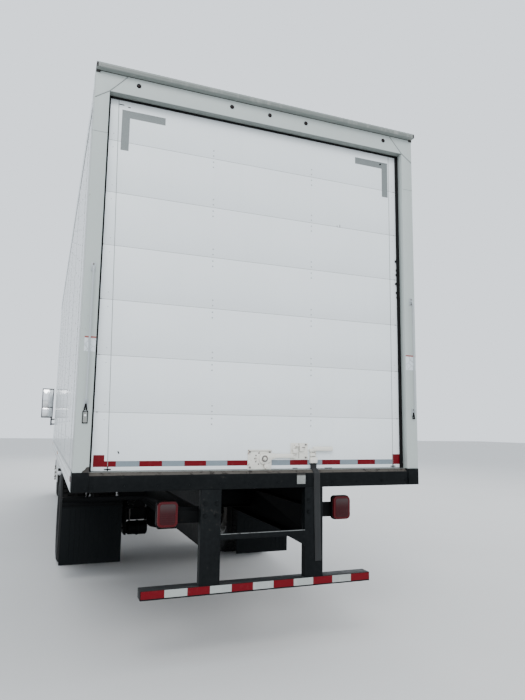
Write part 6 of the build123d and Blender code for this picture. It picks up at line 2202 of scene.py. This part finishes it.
@dataclass
class Cab:
    """The cab's painted skins, windows, mirrors, wipers and inside."""

    lean: float = 0.6597
    bow: float = 11.5
    gasket: float = 0.026
    seat: Point = (0.0, -3.1, 1.75)
    mirror_glass: Sequence[Pair] = ((1.715, 1.893), (1.912, 2.275))
    mirror_x: Pair = (1.337, 1.530)
    grab_x: float = 1.036
    grab_y: float = -2.735
    grab: Sequence[Pair] = (
        (-0.02, 1.25), (0.035, 1.26), (0.035, 1.32), (0.035, 1.62), (0.035, 1.68), (-0.02, 1.69),
    )
    column: Point = (0, 0.230, 0.130)
    grip: Pair = (0.199, 0.0145)
    hub: Sequence[Pair] = (
        (0.0, 0.012), (0.045, 0.010), (0.058, 0.0), (0.058, -0.010), (0.03, -0.014), (0.0, -0.014),
    )

    def indoors(self, face: bmesh.types.BMFace) -> bool:
        """Whether a face looks into the cab."""
        place = face.calc_center_median()
        return face.normal.dot(Vector(self.seat) - place) > 0.3 and abs(place.x) < 1.01 and place.y > -3.95

    def make_gasket(self, node: str, out: Point, body: str, name: str) -> None:
        """A black rubber frame round one window.

        Args:
            node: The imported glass.
            out: The way the window faces.
            body: The body that carries it.
            name: The piece's name.
        """
        shape = Shape()
        shape.node(node)
        way = Vector(out).normalized()
        panes = [face for face in shape.mesh.faces if face.normal.dot(way) > 0.6]
        rim = set(shape.rim_of(panes, self.gasket))
        rest = [face for face in shape.mesh.faces if face not in rim]
        bmesh.ops.delete(shape.mesh, geom=rest, context="FACES")
        bmesh.ops.solidify(shape.mesh, geom=list(shape.mesh.faces), thickness=-0.008)
        shape.piece(name, SEAL, Slot.RUBBER, body)

    def make_wipers(self) -> None:
        """Two wipers parked at the foot of the windshield."""
        low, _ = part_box("cab_glass")

        def at(x: float, up: float, off: float) -> Point:
            """A point off the windshield's face."""
            return (x, low.y + up * self.lean + x * x / self.bow - off, low.z + up)

        shape = Shape()
        for pivot, tip in ((0.62, 0.08), (-0.10, -0.64)):
            middle = (pivot + tip) / 2
            shape.rod(at(pivot, -0.005, 0.012), at(pivot, -0.005, 0.050), 0.018, 12)
            arm = [at(pivot, 0, 0.045), at(pivot - 0.10, 0.04, 0.048), at(middle, 0.085, 0.030)]
            blade = [at(pivot - 0.06, 0.075, 0.012), at(middle, 0.083, 0.018), at(tip, 0.08, 0.012)]
            shape.bent(arm, 0.007, 2)
            shape.bent(blade, 0.006, 2)
        shape.piece("wipers", TRIM, Slot.PLASTIC)

    def make_mirrors(self) -> None:
        """Mirror shells with their glass, on each door."""
        for side in Side:
            node, body = f"mirror_{side.word}", f"door_{side.word}"
            softened(node, TRIM, Slot.PLASTIC, 0.012, body, shortest=0.04)
            _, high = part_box(node)
            shape = Shape()
            ends = [side.x(x) for x in self.mirror_x]
            rows = [(*ends, -0.002, 0.002, foot, head, 0.004) for foot, head in self.mirror_glass]
            shape.blocks(rows, high.y)
            shape.piece(f"mirror_glass_{side.word}", CHROME, Slot.GLASS, body)

    def make_doors(self) -> None:
        """Door skins with their glass and its gaskets."""
        for side in Side:
            word, body = side.word, f"door_{side.word}"
            softened(f"cab_door_{word}", [CAB_WHITE, CABIN_TRIM], Slot.BODY, 0.004, body, shortest=0.06,
                     second=self.indoors)
            coat(WINDOW, f"door_glass_{word}")
            self.make_gasket(f"door_glass_{word}", (side.value, 0, 0), body, f"door_gasket_{word}")

    def make_grab_bars(self) -> None:
        """Upright bars behind the doors."""
        shape = Shape()
        for side in Side:
            shape.bent([(side.x(self.grab_x + out), self.grab_y, z) for out, z in self.grab], 0.011)
        shape.piece("cab_grab_bars", BRIGHT, Slot.ALUMINIUM)

    def make_inside(self) -> None:
        """Dashboard and steering wheel."""
        softened("dashboard", CABIN_TRIM, Slot.PLASTIC, 0.015, shortest=0.05)
        low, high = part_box("steering_wheel")
        centre = (low + high) / 2
        lean = Vector(self.column).normalized()
        shape = Shape()
        radius, thick = self.grip
        turns = spaced(0, math.tau / 10, 10)
        shape.lathe([(radius + thick * math.cos(a), thick * math.sin(a)) for a in turns], centre, lean, 40)
        shape.lathe(self.hub, centre, lean, 24, closed=False)
        across = Vector((1, 0, 0))
        over = lean.cross(across)
        for way in (across, -across, over, -over):
            shape.rod(centre + way * 0.04, centre + way * 0.195, 0.011, 8)
        shape.piece("steering_wheel_rim", CABIN_TRIM, Slot.PLASTIC, "steering_wheel", ["steering_wheel"])

    def make(self) -> None:
        """Dress the cab."""
        softened("cab_shell", [CAB_WHITE, CABIN_TRIM], Slot.BODY, 0.016, shortest=0.14, segments=3,
                 second=self.indoors)
        coat(WINDOW, "cab_glass")
        self.make_gasket("cab_glass", (0, -1, 0.66), "truck", "windshield_gasket")
        self.make_gasket("cab_glass", (0, 1, 0), "truck", "rear_window_gasket")
        self.make_doors()
        self.make_mirrors()
        self.make_wipers()
        softened("cab_lamps", AMBER_LENS, Slot.AMBER, 0.008)
        self.make_grab_bars()
        self.make_inside()


@dataclass
class Seats:
    """Two cloth seats: a sprung cushion, a back and a headrest on a box each."""

    rows: Sequence[tuple[str, float, float]] = (("driver", 0.48, 0.52), ("passenger", -0.48, 0.84))
    front: float = -3.305
    back: float = -2.825
    floor: float = 1.1005
    crown: Pair = (0.016, 0.012)
    cuts: int = 11
    pressure: float = 4.0
    frames: int = 12
    most: float = 0.012

    def pad(self, name: str, low: Point, high: Point, tilt: float = 0.0) -> None:
        """A stuffed pad, puffed by cloth simulation.

        Args:
            name: The piece's name.
            low: Its lowest corner.
            high: Its highest corner.
            tilt: How far its top leans back, in radians.
        """
        low, high = Vector(low), Vector(high)
        centre = (low + high) / 2
        foot = Vector((centre.x, centre.y, low.z))
        lean = Matrix.Translation(foot) @ Matrix.Rotation(-tilt, 4, "X") @ Matrix.Translation(-foot)
        shape = Shape()
        shape.box(low, high, 0.0, lean)
        edges = list(shape.mesh.edges)
        bmesh.ops.subdivide_edges(shape.mesh, edges=edges, cuts=self.cuts, use_grid_fill=True)
        moves = [(vert, vert.co.copy(), vert.normal.copy()) for vert in shape.mesh.verts]
        half = (high - low) / 2
        inverse = lean.inverted()
        swell, inset = self.crown
        for vert, place, normal in moves:
            local = inverse @ place - centre
            shares = sorted((abs(local[i]) / half[i] for i in range(3)), reverse=True)
            crown = (1 - shares[1] ** 4) * (1 - shares[2] ** 4)
            vert.co = place + normal * (swell * crown - inset)
        for _ in range(2):
            bmesh.ops.smooth_vert(shape.mesh, verts=list(shape.mesh.verts), factor=0.5,
                                  use_axis_x=True, use_axis_y=True, use_axis_z=True)
        pad = shape.piece(name, SEAT_CLOTH, Slot.CLOTH, replaces=["seats"], smooth=80)
        self.puff(pad)
        rounded(pad)

    def puff(self, pad: bpy.types.Object) -> None:
        """Blow a pad up a little as cloth, and keep the result.

        Args:
            pad: The pad.
        """
        before = [vert.co.copy() for vert in pad.data.vertices]
        cloth = pad.modifiers.new("cloth", "CLOTH")
        cloth.settings.use_pressure = True
        cloth.settings.uniform_pressure_force = self.pressure
        cloth.settings.effector_weights.gravity = 0.0
        cloth.point_cache.frame_start = 1
        cloth.point_cache.frame_end = self.frames
        scene = bpy.context.scene
        for frame in range(1, self.frames + 1):
            scene.frame_set(frame)
        graph = bpy.context.evaluated_depsgraph_get()
        puffed = [vert.co.copy() for vert in pad.evaluated_get(graph).data.vertices]
        pad.modifiers.remove(cloth)
        scene.frame_set(1)
        for vert, start, end in zip(pad.data.vertices, before, puffed):
            move = end - start
            vert.co = start + move * min(1.0, self.most / max(move.length, 1e-9))

    def make(self) -> None:
        """Build both seats."""
        floor, back = self.floor, self.back
        for name, x, width in self.rows:
            half = width / 2 - 0.012
            low, high = x - half, x + half
            self.pad(f"{name}_cushion", (low, self.front + 0.01, floor + 0.27),
                     (high, back - 0.10, floor + 0.41))
            self.pad(f"{name}_back", (low, back - 0.175, floor + 0.40),
                     (high, back - 0.075, floor + 0.86), -0.06)
            rests = (x,) if width < 0.7 else (x - 0.2, x + 0.2)
            for index, middle in enumerate(rests):
                self.pad(f"{name}_headrest_{index}", (middle - 0.13, back - 0.11, floor + 0.885),
                         (middle + 0.13, back - 0.03, floor + 1.025))
        shape = Shape()
        for _, x, width in self.rows:
            half = width / 2 - 0.03
            shape.box((x - half, self.front + 0.04, floor), (x + half, back - 0.06, floor + 0.275), 0.012)
        shape.piece("seat_boxes", CABIN_TRIM, Slot.PLASTIC)


@dataclass
class Nose:
    """Hood, grille, headlamps and bumper."""

    front: float = -5.385
    bezel: float = 0.012
    bolt_x: Sequence[float] = (-0.50, -0.40, 0.40, 0.50)
    bolt_z: Sequence[float] = (0.53, 0.66)
    catch: float = 0.908

    def make_bumper(self) -> None:
        """The bumper's skin, its bolts and a blank plate."""
        softened("front_bumper", CAB_WHITE, Slot.BODY, 0.010, shortest=0.02, sharper=50.0)
        shape = Shape()
        for x in self.bolt_x:
            for z in self.bolt_z:
                shape.stud(x, z, (self.front + 0.001, self.front - 0.006), 0.013, 16, 0.006)
        shape.finish = 1
        shape.blocks([(-0.1525, 0.1525, -0.005, 0, 0.52, 0.672, 0.002)], self.front)
        shape.piece("bumper_fittings", [BRIGHT, LABEL_PALE], Slot.ALUMINIUM)

    def make_hood(self) -> None:
        """The hood's moulded skin with its catches."""
        softened("hood", CAB_WHITE, Slot.BODY, 0.018, "hood", shortest=0.10, segments=3)
        shape = Shape()
        for side in Side:
            shape.box((side.x(self.catch), -4.052, 1.36), (side.x(self.catch + 0.026), -4.012, 1.50), 0.006)
        shape.piece("hood_catches", SEAL, Slot.RUBBER, "hood")

    def make_lamps(self) -> None:
        """Headlamp lenses in dark frames."""
        shape = Shape()
        shape.node("headlamps")
        ahead = Vector((0, -1, 0))
        lenses = [face for face in shape.mesh.faces if face.normal.dot(ahead) > 0.25]
        for face in shape.rim_of(lenses, self.bezel):
            face.material_index = 1
        finishes = [CLEAR_LENS, TRIM]
        shape.piece("headlamps_finished", finishes, Slot.CLEAR, "hood", ["headlamps"], outward=False)

    def make(self) -> None:
        """Dress the nose."""
        self.make_bumper()
        self.make_hood()
        softened("grille", GRILLE_TRIM, Slot.PLASTIC, 0.003, "hood")
        self.make_lamps()


@dataclass
class Underneath:
    """Frame, axles, tanks and exhaust, with their straps, clamps and U-bolts."""

    strap_x: Pair = (0.458, 1.0225)
    strap_top: float = 0.962
    strap_width: float = 0.06
    cap_place: Point = (0.93, 0.16, 0.90)
    cap: Sequence[Pair] = (
        (0.0, 0.055), (0.045, 0.055), (0.052, 0.048), (0.052, 0.025), (0.045, 0.022), (0.045, -0.01),
        (0, -0.01),
    )
    steps: Sequence[float] = (0.590, 0.830)
    treads: int = 12
    springs: Sequence[tuple[float, ...]] = (
        (REAR_AXLE, 0.508, 0.640, 0.425, 0.078), (FRONT_AXLE, 0.394, 0.548, 0.382, 0.056),
    )
    can_z: float = 0.370
    can: Sequence[Pair] = (
        (0.0, 0.0), (0.064, 0.0), (0.080, 0.012), (0.080, 0.100), (0.086, 0.104), (0.086, 0.122),
        (0.078, 0.126),
        (0.078, 0.215), (0.058, 0.240), (0.0, 0.245),
    )
    flare: Sequence[Pair] = (
        (0.0, 0.05), (0.185, 0.05), (0.182, 0.13), (0.166, 0.20), (0.120, 0.262), (0.0, 0.266),
    )
    damper_x: float = 0.585

    def make_tank_fittings(self) -> None:
        """Straps and cap of the fuel tank."""
        low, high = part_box("fuel_tank")
        shape = Shape()
        outline = rounded_corners(self.strap_x, (low.z - 0.002, self.strap_top), 0.125, 5)
        for share in (0.2, 0.8):
            y = low.y + (high.y - low.y) * share - self.strap_width / 2
            verts = [shape.mesh.verts.new((x, y, z)) for x, z in outline]
            edges = [shape.mesh.edges.new(pair) for pair in zip(verts, verts[1:] + verts[:1])]
            made = bmesh.ops.extrude_edge_only(shape.mesh, edges=edges)["geom"]
            moved = [item for item in made if isinstance(item, bmesh.types.BMVert)]
            bmesh.ops.translate(shape.mesh, vec=(0, self.strap_width, 0), verts=moved)
        bmesh.ops.recalc_face_normals(shape.mesh, faces=shape.mesh.faces)
        thickened(shape.piece("tank_straps", BRIGHT, Slot.ALUMINIUM, outward=False), 0.004, 1.0)
        cap = Shape()
        x, back, z = self.cap_place
        cap.lathe(self.cap, (x, low.y + back, z), (0.7, 0, 0.7), 28, closed=False)
        cap.piece("fuel_cap", BRIGHT, Slot.ALUMINIUM)

    def make_step_treads(self) -> None:
        """Punched tread strips on the steps."""
        shape = Shape()
        for node, side in (("fuel_tank", Side.LEFT), ("battery_box", Side.RIGHT)):
            low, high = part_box(node)
            pitch = (high.y - low.y - 0.26) / (self.treads - 1)
            for top in self.steps:
                for y in spaced(low.y + 0.08, pitch, self.treads):
                    shape.box((side.x(1.035), y - 0.006, top - 0.001),
                              (side.x(1.140), y + 0.006, top + 0.004), 0.0015)
        shape.piece("step_treads", BRIGHT, Slot.ALUMINIUM)

    def make_u_bolts(self) -> None:
        """U-bolts that clamp the springs to both axles."""
        shape = Shape()
        for axle, spring, top, foot, apart in self.springs:
            bend = (
                (-0.045, foot), (-0.045, top), (-0.03, top + 0.012),
                (0.03, top + 0.012), (0.045, top), (0.045, foot),
            )
            for side in Side:
                for y in (axle - apart, axle + apart):
                    shape.bent([(side.x(spring) + aside, y, z) for aside, z in bend], 0.009, 2)
        shape.piece("u_bolts", NUT_STEEL, Slot.BLACK)

    def make_brakes(self) -> None:
        """Spring-brake chambers with their brackets and push rods, and the rear axle's housing."""
        shape = Shape()
        y, z = REAR_AXLE + 0.175, self.can_z
        for side in Side:
            out = (side.value, 0, 0)
            shape.lathe(self.can, (side.x(0.275), y, z), out, 24, closed=False)
            shape.rod((side.x(0.525), y, z), (side.x(0.610), y - 0.01, z), 0.012, 8)
            shape.box((side.x(0.520), REAR_AXLE + 0.05, 0.300), (side.x(0.545), y + 0.080, 0.560), 0.004)
            shape.box((side.x(0.290), REAR_AXLE + 0.10, 0.590),
                      (side.x(0.475), REAR_AXLE + 0.13, 0.760), 0.005)
            shape.lathe(self.flare, (0, REAR_AXLE, AXLE_Z), out, 24, closed=False)
        shape.piece("brake_chambers", BLACK, Slot.BLACK)

    def make_dampers(self) -> None:
        """Shock absorbers from the axle to the rails, and bump stops over the springs."""
        shape = Shape()
        for side in Side:
            foot = Vector((side.x(self.damper_x), REAR_AXLE + 0.10, 0.40))
            head = Vector((side.x(self.damper_x - 0.09), REAR_AXLE + 0.42, 0.90))
            middle = foot.lerp(head, 0.55)
            shape.rod(foot, middle, 0.034, 14)
            shape.rod(middle, head, 0.027, 14)
            eye = Vector((0.03, 0, 0))
            for end in (foot, head):
                shape.rod(end - eye, end + eye, 0.026, 12)
            shape.box((side.x(0.455), REAR_AXLE - 0.05, 0.765),
                      (side.x(0.560), REAR_AXLE + 0.05, 0.815), 0.006)
            shape.box((side.x(0.434), REAR_AXLE - 0.09, 0.76), (side.x(0.470), REAR_AXLE + 0.09, 0.90), 0.005)
        shape.piece("dampers", BLACK, Slot.BLACK)

    def make(self) -> None:
        """Dress everything below the floor."""
        coat(BLACK, "leaf_springs", "front_axle", "rear_axle", "driveshaft", "air_tanks", "tie_rod")
        softened("chassis_frame", BLACK, Slot.BLACK, 0.002, shortest=0.05, segments=1)
        softened("battery_box", BLACK, Slot.BLACK, 0.006, shortest=0.05)
        softened("fuel_tank", TANK_METAL, Slot.ALUMINIUM, 0.006, shortest=0.05, sharper=60.0)
        coat(IRON, "knuckle_left", "knuckle_right")
        coat(ENGINE_GREY, "engine")
        coat(BRIGHT, "radiator")
        coat(PIPE_METAL, "exhaust")
        self.make_tank_fittings()
        self.make_step_treads()
        self.make_u_bolts()
        self.make_brakes()
        self.make_dampers()


FRAME: dict[str, object] = {}


def main() -> None:
    """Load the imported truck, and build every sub-assembly in turn."""
    logging.basicConfig(level=logging.INFO, format="%(name)s: %(message)s")
    FRAME.update(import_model())
    Viewpoint().make()
    Studio().make()
    rear = (PullStrap(), RollupDoor(), Latch(), RearFrame(), Sill(), TailLamps(), Guard())
    for part in (*rear, BodySides(), Wheel(), Cab(), Seats(), Nose(), Underneath()):
        part.make()
        log.info("%s is done", type(part).__name__)


if __name__ == "__main__":
    main()
